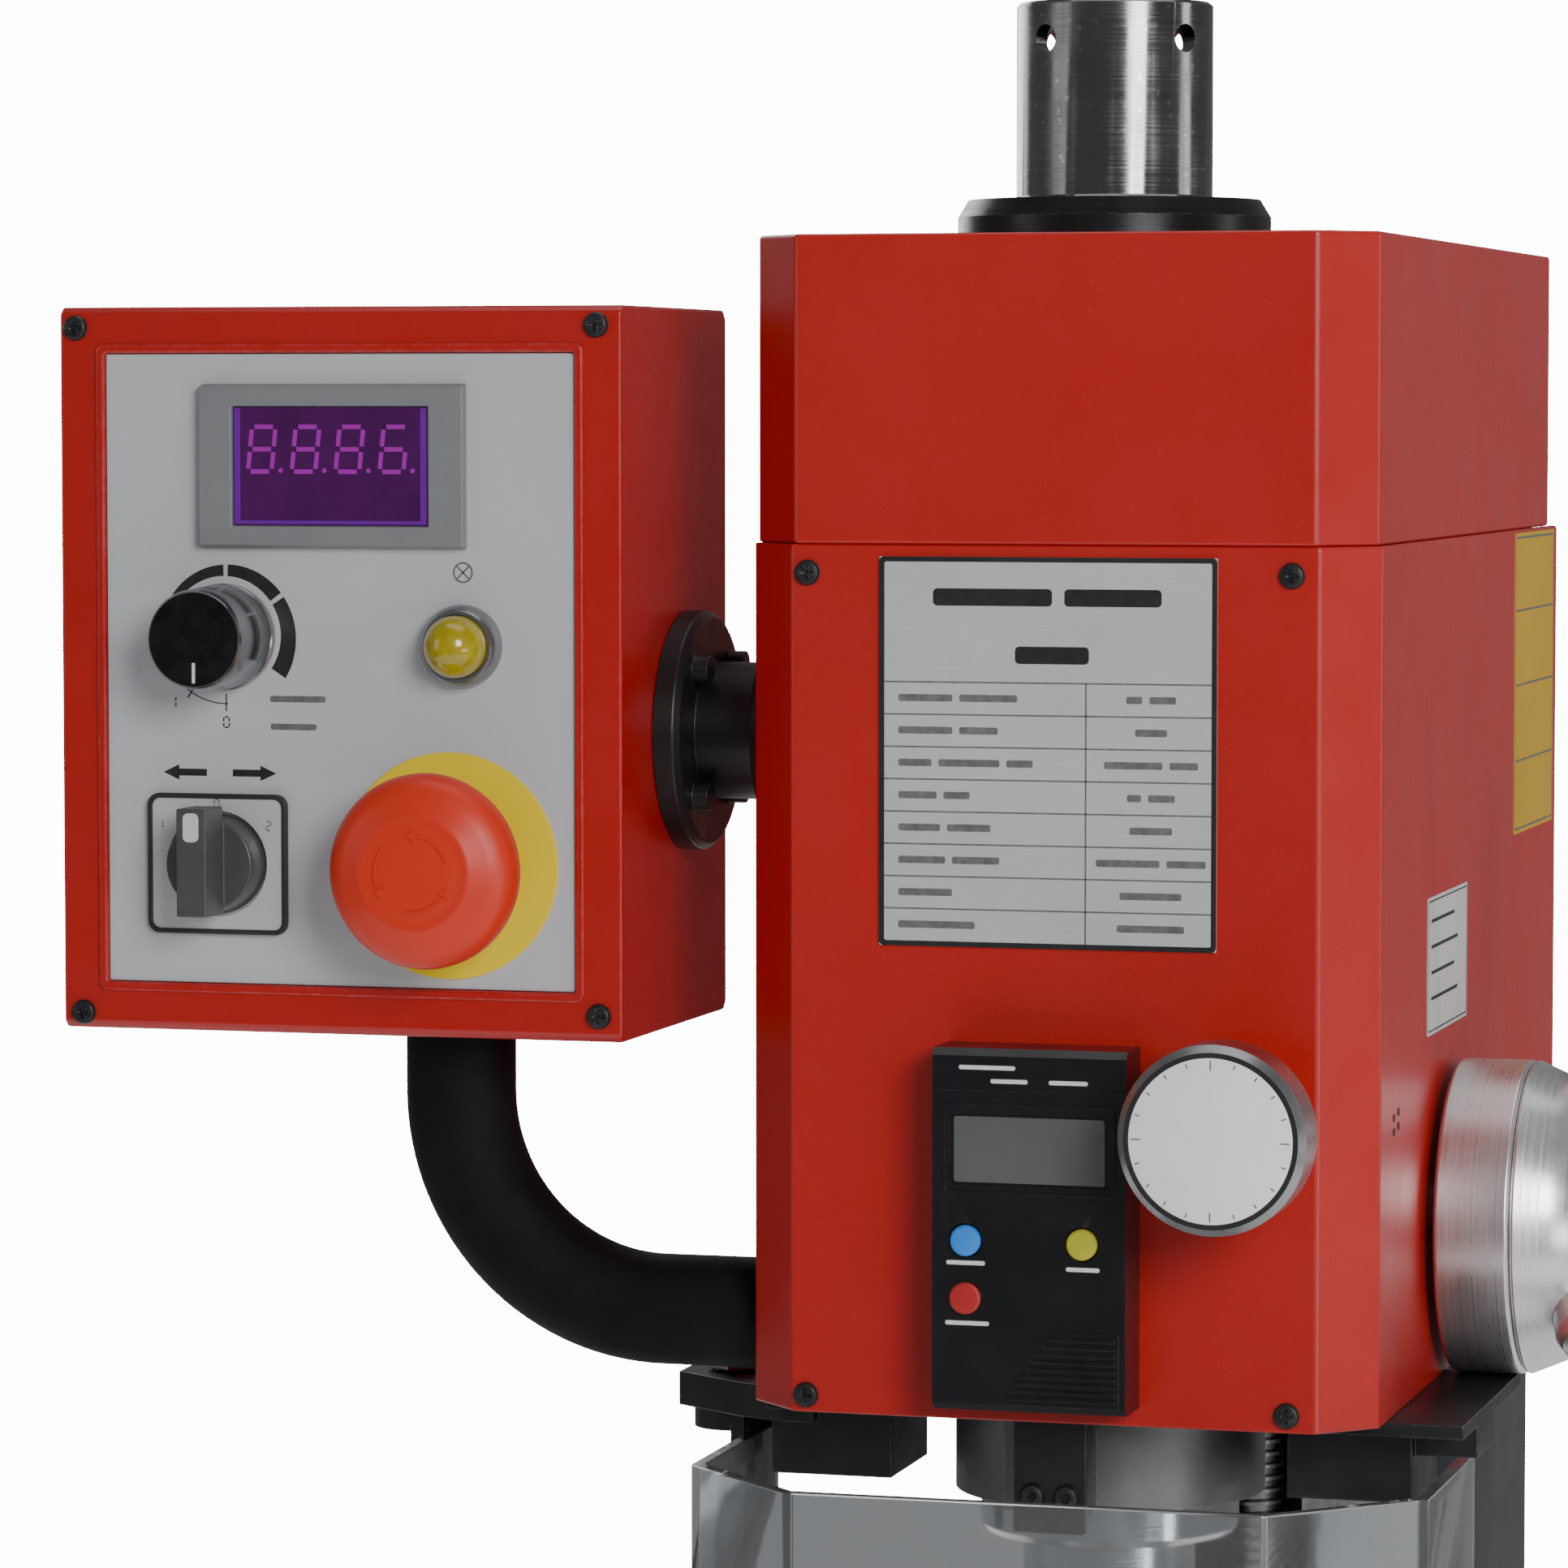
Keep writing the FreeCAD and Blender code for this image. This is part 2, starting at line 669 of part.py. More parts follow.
def belt_loop(spare):
    """The stadium-shaped solid around both pulleys, `spare` outside their grooves."""
    big = f"(sleeve_wheel + {spare})"
    small = f"(motor_wheel + {spare})"
    lean = "((sleeve_wheel - motor_wheel) / (motor_y - spindle_y))"
    wide = f"sqrt(1 - {lean} ^ 2)"
    sides = pad("z", mirrored([
        (f"{big} * {wide}", f"spindle_y + {big} * {lean}"),
        (f"{small} * {wide}", f"motor_y + {small} * {lean}"),
    ]), "belt_low", "belt_high")
    return fuse(
        rod("z", "0", "spindle_y", "belt_low", "belt_high", big),
        rod("z", "0", "motor_y", "belt_low", "belt_high", small),
        sides,
    )


node("drive_belt", cut(belt_loop("2.6"), belt_loop("0.3")))

# ---------------------------------------------------------------- quill and spindle

node("quill", cut(
    turned("z", "0", "spindle_y", [
        ("quill_bottom", "spindle_radius + running_gap"), ("quill_bottom", "quill_radius - 1.5"),
        ("quill_bottom + 2", "quill_radius"), ("quill_top", "quill_radius"),
        ("quill_top", "spindle_radius + running_gap"), ("quill_top - 24", "spindle_radius + running_gap"),
        ("quill_top - 24", "28"), ("quill_bottom + 34", "28"),
        ("quill_bottom + 34", "spindle_radius + running_gap"),
    ]),
    box(("-10.5", "10.5"), ("spindle_y + quill_radius - 1.1", "spindle_y + quill_radius + 1"),
        ("quill_bottom + 24", "quill_top + 1")),
))
node("spindle", turned("z", "0", "spindle_y", [
    ("nose", "11.9"), ("nose", "spindle_radius - 1.5"), ("nose + 2", "spindle_radius"),
    ("nose + 50", "spindle_radius"), ("nose + 50", "18"), ("quill_top - 22", "18"),
    ("quill_top - 22", "spindle_radius"), ("quill_top - 2", "spindle_radius"),
    ("quill_top - 2", "spline_radius"), ("spindle_top", "spline_radius"), ("spindle_top", "6.5"),
    ("nose + 82", "6.5"), ("nose + 82", "9.85"),
]))
node("drawbar", fuse(
    rod("z", "0", "spindle_y", "nose + 60", "spindle_top + 1", "5.5"),
    rod("z", "0", "spindle_y", "spindle_top", "spindle_top + 3", "10"),
    hexagon("z", "0", "spindle_y", "spindle_top + 3", "spindle_top + 15", "9.5"),
))

# ---------------------------------------------------------------- quill feed

node("pinion_shaft", turned("x", "feed_y", "feed_height", [
    ("-44.9", "0"), ("-44.9", "10"), ("-9.5", "10"), ("-9.5", "pinion_radius"), ("9.5", "pinion_radius"),
    ("9.5", "10"), ("12", "10"), ("12", "pinion_radius + 0.35"), ("46.5", "pinion_radius + 0.35"),
    ("46.5", "29.4"), ("62.5", "29.4"), ("62.5", "10"), ("139", "10"), ("139", "0"),
]))
node("feed_dial", turned("x", "feed_y", "feed_height", [
    ("housing_half + 3", "10 + seat_gap"), ("housing_half + 3", "dial_radius - 1"),
    ("housing_half + 4", "dial_radius"), ("housing_half + 24", "dial_radius"),
    ("housing_half + 25", "dial_radius - 1"), ("housing_half + 25", "10 + seat_gap"),
]))
hub = turned("x", "feed_y", "feed_height", [
    ("housing_half + 25.05", "10 + seat_gap"), ("housing_half + 25.05", "45"),
    ("housing_half + 26", "46"), ("housing_half + 40", "40"), ("housing_half + 49", "32"),
    ("housing_half + 55", "20"), ("housing_half + 57", "12"), ("housing_half + 57", "0"),
    ("housing_half + 49.2", "0"), ("housing_half + 49.2", "10 + seat_gap"),
])


def lever_frame(angle):
    """A turn that lays a lever's axis at the angle about the shaft, leaning 14 degrees outward."""
    about = FreeCAD.Rotation(FreeCAD.Vector(1, 0, 0), angle)
    return about.multiply(FreeCAD.Rotation(FreeCAD.Vector(0, 1, 0), 14))


def on_lever(piece, angle, reach):
    frame = lever_frame(angle)
    root = FreeCAD.Vector(value("housing_half + 36"), value("feed_y"), value("feed_height"))
    piece.Placement = FreeCAD.Placement(root + frame.multVec(FreeCAD.Vector(0, 0, reach)), frame)
    return piece


def lever_rod(angle):
    stem = turned("z", "0", "0", [
        ("0", "0"), ("0", "10"), ("22", "10"), ("26", "8.5"), ("29", "4.5"), ("92", "4.5"), ("92", "0"),
    ])
    return on_lever(stem, angle, 25)


def lever_grip(angle):
    grip = turned("z", "0", "0", [
        ("0", "0"), ("0", "6"), ("6", "8.5"), ("24", "10.5"), ("36", "9.5"), ("42", "5"), ("43", "0"),
    ])
    return on_lever(grip, angle, 117)


LEVERS = (8, 128, 248)
node("feed_hub", cut(
    fuse(hub, *[lever_rod(angle) for angle in LEVERS]),
    rod("x", "feed_y", "feed_height", "housing_half + 25", "housing_half + 49.2", "10 + seat_gap"),
))
node("lever_knobs", group(*[lever_grip(angle) for angle in LEVERS]))
node("fine_feed_knob", turned("y", "worm_x", "worm_height", [
    ("head_front - 45", "0"), ("head_front - 45", "fine_knob_radius - 2"),
    ("head_front - 43", "fine_knob_radius"), ("head_front - 28", "fine_knob_radius"),
    ("head_front - 26", "fine_knob_radius - 2"), ("head_front - 26", "12"), ("head_front - 3", "12"),
    ("head_front - 3", "journal_radius"), ("feed_y - 24", "journal_radius"), ("feed_y - 24", "9.4"),
    ("feed_y + 24", "9.4"), ("feed_y + 24", "0"),
]))

# ---------------------------------------------------------------- front of the head

node("spec_plate", box(
    ("plate_centre - plate_half", "plate_centre + plate_half"), ("head_front - 0.8", "head_front"),
    ("723", "831.7"),
))
dro_face = "head_front - dro_depth"
dro_shape = pad("x", [
    ("head_front", "dro_bottom"), (f"{dro_face} + 2", "dro_bottom"), (dro_face, "dro_bottom + 2"),
    (dro_face, "dro_top - 2"), (f"{dro_face} + 2", "dro_top"), ("head_front", "dro_top"),
], "dro_left", "dro_right")
DRO_BUTTONS = {"dro_button_left": "-20", "dro_button_right": "13"}
node("dro_case", cut(
    dro_shape,
    box(("dro_left + 5", "dro_right - 5"), (f"{dro_face} - 1", f"{dro_face} + 0.8"),
        ("dro_top - 38", "dro_top - 18")),
    *[rod("y", x, "643", f"{dro_face} - 1", f"{dro_face} + 6", "4.8")
      for x in DRO_BUTTONS.values()],
))
for name, x in DRO_BUTTONS.items():
    node(name, rod("y", x, "643", f"{dro_face} - 1.8", f"{dro_face} + 4", "4.4"))

# ---------------------------------------------------------------- spindle guard

node("guard_bracket", cut(
    fuse(
        box(("-90", "112"), ("-160", "-60"), ("housing_bottom - 4", "housing_bottom")),
        pad("z", [
            ("-90", "-146"), ("-104", "-140"), ("-127", "-124"), ("-127", "-104"), ("-104", "-92"),
            ("-90", "-88"), ("-80", "-88"), ("-80", "-146"),
        ], "housing_bottom - 10", "housing_bottom"),
        box(("-94", "-58"), ("-140", "-98"), ("housing_bottom - 26", "housing_bottom - 3")),
        box(("58", "94"), ("-140", "-98"), ("housing_bottom - 26", "housing_bottom - 3")),
        box(("90", "112"), ("-136", "-108"), ("housing_bottom - 13", "housing_bottom")),
    ),
    rod("z", "0", "spindle_y", "housing_bottom - 5", "housing_bottom + 1", "boss_radius + 1"),
    box(("-22", "8"), ("-161", "-140"), ("housing_bottom - 5", "housing_bottom + 1")),
    rod("z", "hinge_x", "hinge_y", "housing_bottom - 11", "housing_bottom + 1", "4 + running_gap"),
))
guard_outer = [
    ("-guard_half", "guard_back"),
    ("-guard_half", "guard_front + guard_cut"),
    ("guard_cut - guard_half", "guard_front"),
    ("guard_half - guard_cut", "guard_front"),
    ("guard_half", "guard_front + guard_cut"),
    ("guard_half", "guard_back"),
]
guard_inner = [
    ("guard_half - guard_wall", "guard_back"),
    ("guard_half - guard_wall", "guard_front + guard_cut + guard_wall * 0.414"),
    ("guard_half - guard_cut - guard_wall * 0.414", "guard_front + guard_wall"),
    ("guard_cut - guard_half + guard_wall * 0.414", "guard_front + guard_wall"),
    ("guard_wall - guard_half", "guard_front + guard_cut + guard_wall * 0.414"),
    ("guard_wall - guard_half", "guard_back"),
]
node("guard", pad("z", guard_outer + guard_inner, "guard_bottom", "guard_top"))
node("guard_hinge", fuse(
    rod("z", "hinge_x", "hinge_y", "573.5", "579.5", "12"),
    box(("-guard_half - 4", "-guard_half"), ("-128", "guard_back"), ("530", "579.5")),
    rod("z", "hinge_x", "hinge_y", "573.5", "600", "4"),
    hexagon("z", "hinge_x", "hinge_y", "housing_bottom + 0.3", "housing_bottom + 8", "7.5"),
))

# ---------------------------------------------------------------- control box

box_inside = box(("box_left + 4", "box_right - 4"), ("head_front + 6", "box_back - 4"),
                 ("box_bottom + 4", "box_top - 4"))
recess = box(("panel_left", "panel_right"), ("head_front - 1", "head_front + 2"),
             ("panel_bottom", "panel_top"))
opening = box(("panel_left + 10", "panel_right - 10"), ("head_front + 1", "head_front + 7"),
              ("panel_bottom + 10", "panel_top - 10"))
node("control_box", cut(
    pad("x", [
        ("head_front", "box_bottom + 2"), ("head_front", "box_top - 2"), ("head_front + 2", "box_top"),
        ("box_back - 2", "box_top"), ("box_back", "box_top - 2"), ("box_back", "box_bottom + 2"),
        ("box_back - 2", "box_bottom"), ("head_front + 2", "box_bottom"),
    ], "box_left", "box_right"),
    box_inside,
    recess,
    opening,
    rod("z", "conduit_x", "conduit_y", "box_bottom - 1", "box_bottom + 5", "10"),
    rod("x", "arm_y", "arm_z", "box_right - 5", "box_right + 1", "12"),
))
node("control_panel", cut(
    box(("panel_left + 0.1", "panel_right - 0.1"), ("panel_face", "head_front + 2"),
        ("panel_bottom + 0.1", "panel_top - 0.1")),
    rod("y", "speed_x", "speed_z", "panel_face - 1", "head_front + 3", "pin_radius + running_gap"),
    rod("y", "selector_x", "selector_z", "panel_face - 1", "head_front + 3", "11 + running_gap"),
    rod("y", "stop_x", "stop_z", "panel_face - 1", "head_front + 3", "11 + running_gap"),
))
display_frame = pad("x", [
    ("panel_face", "832.6"), ("panel_face - 4", "833.6"), ("panel_face - 4", "879"), ("panel_face", "880"),
], "-251.2", "-171.1")
display_recess = box(("-241", "-181.6"), ("panel_face - 5", "panel_face - 2.5"), ("839.2", "873.5"))
node("rpm_display", cut(display_frame, display_recess))
node("fault_lamp", turned("y", "lamp_x", "lamp_z", [
    ("panel_face - 17", "0"), ("panel_face - 16.5", "3"), ("panel_face - 14.5", "6"),
    ("panel_face - 11", "8.5"), ("panel_face - 7", "9.2"), ("panel_face - 6", "11.5"),
    ("panel_face", "12"), ("panel_face", "0"),
]))
node("speed_knob", turned("y", "speed_x", "speed_z", [
    ("panel_face - 26", "0"), ("panel_face - 26", "13.5"), ("panel_face - 24", "14.5"),
    ("panel_face - 3", "15.3"), ("panel_face - 0.5", "15.3"), ("panel_face - 0.5", "pin_radius"),
    ("panel_face + 16", "pin_radius"), ("panel_face + 16", "0"),
]))
node("selector_handle", fuse(
    turned("y", "selector_x", "selector_z", [
        ("panel_face - 9", "0"), ("panel_face - 9", "13"), ("panel_face - 0.5", "14.5"),
        ("panel_face - 0.5", "11"), ("panel_face + 20", "11"), ("panel_face + 20", "0"),
    ]),
    box(("selector_x - 4.5", "selector_x + 4.5"), ("panel_face - 23", "panel_face - 9"),
        ("selector_z - 14", "selector_z + 17")),
))
node("estop_stem", turned("y", "stop_x", "stop_z", [
    ("panel_face - 22", "0"), ("panel_face - 22", "8"), ("panel_face - 9", "8"),
    ("panel_face - 9", "11"), ("panel_face + 26", "11"), ("panel_face + 26", "0"),
]))
node("estop_button", turned("y", "stop_x", "stop_z", [
    ("panel_face - 34", "0"), ("panel_face - 33.5", "12"), ("panel_face - 31", "22"),
    ("panel_face - 26", "27"), ("panel_face - 21", "27.8"), ("panel_face - 18", "26"),
    ("panel_face - 18", "15"), ("panel_face - 11", "14"), ("panel_face - 11", "8 + running_gap"),
    ("panel_face - 22.1", "8 + running_gap"), ("panel_face - 22.1", "0"),
]))

# The arm is a tube with a bolted flange at each end.
arm_screws = [
    rod("x", f"arm_y + {sy} * 18.5", f"arm_z + {sz} * 18.5", "box_right + 8", "box_right + 13", "4")
    for sy in SIDES for sz in SIDES
]
node("control_arm", cut(
    fuse(
        rod("x", "arm_y", "arm_z", "box_right", "-housing_half", "arm_radius"),
        turned("x", "arm_y", "arm_z", [
            ("box_right", "0"), ("box_right", "35"), ("box_right + 6", "35"), ("box_right + 8", "33"),
            ("box_right + 8", "0"),
        ]),
        turned("x", "arm_y", "arm_z", [
            ("-housing_half - 8", "0"), ("-housing_half - 8", "28"), ("-housing_half", "30"),
            ("-housing_half", "0"),
        ]),
        *arm_screws,
    ),
    rod("x", "arm_y", "arm_z", "box_right - 1", "1 - housing_half", "12"),
))


def conduit(radius):
    """The rigid conduit: down from the box, one bend, and across into the head."""
    drop = rod("z", "conduit_x", "conduit_y", "conduit_z + conduit_bend", "box_bottom", radius)
    run = rod("x", "conduit_y", "conduit_z", "conduit_x + conduit_bend", "-housing_half", radius)
    bend = doc.addObject("Part::Torus", "bend")
    size(bend, Radius1="conduit_bend", Radius2=radius)
    bend.Angle3 = 90
    quarter = FreeCAD.Rotation(FreeCAD.Vector(1, 0, 0), 90).multiply(
        FreeCAD.Rotation(FreeCAD.Vector(0, 0, 1), 180))
    place(bend, "conduit_x + conduit_bend", "conduit_y", "conduit_z + conduit_bend", quarter)
    return fuse(drop, bend, run)


node("cable_conduit", cut(conduit("conduit_radius"), conduit("conduit_radius - conduit_wall")))

# ---------------------------------------------------------------- checks and export

doc.recompute()
broken = [thing.Name for thing in doc.Objects if {"Invalid", "Error"} & set(thing.State)]
if broken:
    raise SystemExit(f"failed features: {broken}")
for name, piece in NODES.items():
    if piece.Shape.isNull() or not piece.Shape.isValid():
        raise SystemExit(f"{name} has no valid shape")
for name, piece in NODES.items():
    piece.Shape.exportStep(f"parts/{name}.step")
    limits = piece.Shape.BoundBox
    print(f"{name:20s} solids {len(piece.Shape.Solids)}  volume {piece.Shape.Volume / 1000:9.1f} cm3  "
          f"x {limits.XMin:.1f}..{limits.XMax:.1f}  y {limits.YMin:.1f}..{limits.YMax:.1f}  "
          f"z {limits.ZMin:.1f}..{limits.ZMax:.1f}")
print(len(NODES), "nodes")
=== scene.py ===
import json
import math
from math import cos, pi, radians, sin

import bmesh
import bpy
from mathutils import Matrix, Vector


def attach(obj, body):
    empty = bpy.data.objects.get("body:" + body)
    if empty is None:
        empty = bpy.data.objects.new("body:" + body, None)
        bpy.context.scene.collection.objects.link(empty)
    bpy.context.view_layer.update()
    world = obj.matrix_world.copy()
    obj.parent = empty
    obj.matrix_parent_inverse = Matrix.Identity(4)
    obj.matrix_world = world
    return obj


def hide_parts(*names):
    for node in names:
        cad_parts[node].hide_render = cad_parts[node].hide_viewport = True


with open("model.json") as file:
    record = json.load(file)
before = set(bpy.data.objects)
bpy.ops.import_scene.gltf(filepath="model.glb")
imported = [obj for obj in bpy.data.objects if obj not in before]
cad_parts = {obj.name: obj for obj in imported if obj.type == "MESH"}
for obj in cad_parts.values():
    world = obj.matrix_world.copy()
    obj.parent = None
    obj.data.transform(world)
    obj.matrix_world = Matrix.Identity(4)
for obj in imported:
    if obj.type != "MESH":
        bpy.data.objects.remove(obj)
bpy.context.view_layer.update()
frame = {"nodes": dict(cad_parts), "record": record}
NODES = frame["nodes"]
BODY_OF = {
    node: body
    for body, members in frame["record"]["behaviour"]["bodies"].items()
    for node in members
}


def start_of(node, axis):
    """Where a CAD node begins along an axis, to a hundredth of a millimetre."""
    return round(min(v.co["xyz".index(axis)] for v in NODES[node].data.vertices), 5)


def end_of(node, axis):
    """Where a CAD node stops along an axis."""
    return round(max(v.co["xyz".index(axis)] for v in NODES[node].data.vertices), 5)


def middle_of(node, axis):
    """Half way between, to a tenth of a millimetre, because a round part's facets fall short of its rim."""
    return round((start_of(node, axis) + end_of(node, axis)) / 2, 4)


def axis_of(node, pair):
    """The centre line of a turned CAD node, seen in the plane of two axes."""
    return middle_of(node, pair[0]), middle_of(node, pair[1])


def edges(node, pair):
    """(u0, u1, v0, v1) of a CAD node in the plane of two axes."""
    u, v = pair
    return start_of(node, u), end_of(node, u), start_of(node, v), end_of(node, v)


SPINDLE_AXIS = axis_of("spindle_tube", "xy")
FEED_AXIS = axis_of("feed_dial", "yz")
LAMP_AXIS = axis_of("fault_lamp", "xz")
KNOB_AXIS = axis_of("speed_knob", "xz")
WORM_AXIS = axis_of("fine_feed_knob", "xz")

# ------------------------------------------------------------------ camera and lights


def look_at(obj, target):
    obj.rotation_euler = (Vector(target) - obj.location).to_track_quat("-Z", "Y").to_euler()


def add(name, data):
    obj = bpy.data.objects.new(name, data)
    bpy.context.scene.collection.objects.link(obj)
    return obj


camera = add("camera", bpy.data.cameras.new("camera"))
camera.data.lens = 141.6
camera.data.sensor_width = 36
camera.location = (0.3927, -1.8498, 0.873)
camera.rotation_euler = (radians(90 - 3.49), 0, radians(15.775))
bpy.context.scene.camera = camera


def softbox(name, place, target, width, height, watts):
    lamp = bpy.data.lights.new(name, "AREA")
    lamp.shape = "RECTANGLE"
    lamp.size = width
    lamp.size_y = height
    lamp.energy = watts
    obj = add(name, lamp)
    obj.location = place
    look_at(obj, target)


HEAD = (0, -0.1, 0.76)
softbox("key", (1.75, -2.6, 1.75), HEAD, 1.1, 1.2, 70)
softbox("fill", (-2.6, -1.9, 1.3), HEAD, 1.0, 1.6, 6)
softbox("side", (2.4, 0.5, 1.1), (0.1, -0.05, 0.68), 0.5, 1.6, 9)
softbox("top", (0.1, 0.2, 2.8), HEAD, 1.8, 1.8, 13)
softbox("back", (-1.9, 1.9, 1.6), HEAD, 1.6, 1.6, 30)
softbox("low", (2.3, -1.5, 0.3), (0, -0.1, 0.3), 1.2, 0.5, 9)

SEEN_STRENGTH = 14.0  # the white backdrop, as the camera sees it
LIT_STRENGTH = 0.2  # the light that it sheds


def backdrop(tree, colour, strength):
    node = tree.nodes.new("ShaderNodeBackground")
    node.inputs["Color"].default_value = colour
    node.inputs["Strength"].default_value = strength
    return node


def studio_world():
    """A world that looks white and sheds little light."""
    world = bpy.data.worlds.new("studio")
    world.use_nodes = True
    tree = world.node_tree
    tree.nodes.clear()
    seen = backdrop(tree, (1, 1, 1, 1), SEEN_STRENGTH)
    lit = backdrop(tree, (0.97, 0.98, 1, 1), LIT_STRENGTH)
    path = tree.nodes.new("ShaderNodeLightPath")
    mixed = tree.nodes.new("ShaderNodeMixShader")
    output = tree.nodes.new("ShaderNodeOutputWorld")
    tree.links.new(path.outputs["Is Camera Ray"], mixed.inputs[0])
    tree.links.new(lit.outputs[0], mixed.inputs[1])
    tree.links.new(seen.outputs[0], mixed.inputs[2])
    tree.links.new(mixed.outputs[0], output.inputs[0])
    return world


bpy.context.scene.world = studio_world()

# ------------------------------------------------------------------ materials


class Nodes:
    """A short way to place and join shader nodes."""

    def __init__(self, material):
        self.tree = material.node_tree
        self.tree.nodes.clear()

    def new(self, kind, settings=None, **inputs):
        node = self.tree.nodes.new("ShaderNode" + kind)
        for key, setting in (settings or {}).items():
            setattr(node, key, setting)
        for key, source in inputs.items():
            name = int(key[1:]) if key[0] == "i" and key[1:].isdigit() else key.replace("_", " ")
            self.feed(node.inputs[name], source)
        return node

    def feed(self, socket, source):
        if isinstance(source, bpy.types.NodeSocket):
            self.tree.links.new(source, socket)
        elif isinstance(source, bpy.types.Node):
            self.tree.links.new(source.outputs[0], socket)
        else:
            socket.default_value = source

    def maths(self, operation, *values):
        inputs = {f"i{k}": v for k, v in enumerate(values)}
        return self.new("Math", {"operation": operation}, **inputs)

    def mix(self, share, first, second):
        node = self.tree.nodes.new("ShaderNodeMix")
        node.data_type = "RGBA"
        self.feed(node.inputs[0], share)
        self.feed(node.inputs[6], first)
        self.feed(node.inputs[7], second)
        return node.outputs[2]

    def span(self, source, low, high, to_low, to_high):
        return self.new("MapRange", Value=source, From_Min=low, From_Max=high, To_Min=to_low, To_Max=to_high)


def rgba(colour):
    return (*colour, 1.0)


def shader(
    name,
    colour,
    rough=0.5,
    metal=0.0,
    blotch=None,
    speck=None,
    rough_swing=0.08,
    rough_scale=40,
    bumps=(),
    spun=None,
    brushed=None,
    wear=None,
    **sockets,
):
    """A procedural finish. Scales are per metre and bump heights are in metres.

    blotch (scale, share, colour): broad colour variation. speck (scale, share, colour): dust and pits.
    bumps ((scale, height), ...): noise relief.
    spun (axis, centre, scale, height): turning marks round an axis.
    brushed (x, y, z, height): stretched grain. wear (radius, colour, amount): rubbed edges.
    """
    material = bpy.data.materials.new(name)
    material.use_nodes = True
    n = Nodes(material)
    place = n.new("TexCoord").outputs["Object"]
    base = rgba(colour)
    if blotch:
        scale, share, other = blotch
        cloud = n.new("TexNoise", Vector=place, Scale=scale, Detail=4.0, Roughness=0.55)
        base = n.mix(n.span(cloud.outputs[0], 0.35, 0.68, 0.0, share), base, rgba(other))
    if speck:
        scale, share, other = speck
        dots = n.new("TexNoise", Vector=place, Scale=scale, Detail=1.0)
        base = n.mix(n.span(dots.outputs[0], 0.68, 0.74, 0.0, share), base, rgba(other))
    cloud = n.new("TexNoise", Vector=place, Scale=rough_scale, Detail=5.0, Roughness=0.6)
    gloss = n.span(cloud.outputs[0], 0.3, 0.7, max(0.02, rough - rough_swing), min(1.0, rough + rough_swing))
    normal = None

    def relief(height_source, height):
        nonlocal normal
        bump = n.new("Bump", Height=height_source, Strength=1.0, Distance=height)
        if normal is not None:
            n.feed(bump.inputs["Normal"], normal)
        normal = bump.outputs[0]

    for scale, height in bumps:
        noise = n.new("TexNoise", Vector=place, Scale=scale, Detail=3.0, Roughness=0.5)
        relief(noise.outputs[0], height)
    if spun:
        axis, centre, scale, height = spun
        origin = list(centre)
        origin.insert("xyz".index(axis), 0.0)
        shifted = n.new("VectorMath", {"operation": "SUBTRACT"}, i0=place, i1=tuple(origin))
        flat = [1.0, 1.0, 1.0]
        flat["xyz".index(axis)] = 0.0
        across = n.new("VectorMath", {"operation": "MULTIPLY"}, i0=shifted.outputs[0], i1=tuple(flat))
        radius = n.new("VectorMath", {"operation": "LENGTH"}, i0=across.outputs[0]).outputs["Value"]
        parts = n.new("SeparateXYZ", Vector=shifted.outputs[0])
        track = n.new("CombineXYZ", X=parts.outputs["xyz".index(axis)], Y=radius, Z=0.0)
        rings = n.new("TexNoise", Vector=track.outputs[0], Scale=scale, Detail=2.0, Roughness=0.6)
        relief(rings.outputs[0], height)
        gloss = n.maths("ADD", gloss, n.span(rings.outputs[0], 0.3, 0.7, -0.05, 0.07))
    if brushed:
        grain = n.new("VectorMath", {"operation": "MULTIPLY"}, i0=place, i1=tuple(brushed[:3]))
        lines = n.new("TexNoise", Vector=grain.outputs[0], Scale=1.0, Detail=3.0, Roughness=0.6)
        relief(lines.outputs[0], brushed[3])
        gloss = n.maths("ADD", gloss, n.span(lines.outputs[0], 0.3, 0.7, -0.06, 0.08))
    if wear:
        radius, other, amount = wear
        soft = n.new("Bevel", {"samples": 4}, Radius=radius)
        sharp = n.new("NewGeometry").outputs["Normal"]
        same = n.new("VectorMath", {"operation": "DOT_PRODUCT"}, i0=soft.outputs[0], i1=sharp)
        edge = n.span(same.outputs["Value"], 0.995, 0.9, 0.0, 1.0)
        scratch = n.new("TexNoise", Vector=place, Scale=260.0, Detail=5.0, Roughness=0.7)
        worn = n.maths("MULTIPLY", edge, n.span(scratch.outputs[0], 0.45, 0.62, 0.0, amount))
        base = n.mix(worn, base, rgba(other))
    surface = n.new("BsdfPrincipled", Base_Color=base, Roughness=gloss)
    surface.inputs["Metallic"].default_value = metal
    if normal is not None:
        n.feed(surface.inputs["Normal"], normal)
    for key, setting in sockets.items():
        surface.inputs[key.replace("_", " ")].default_value = setting
    n.new("OutputMaterial", Surface=surface)
    return material


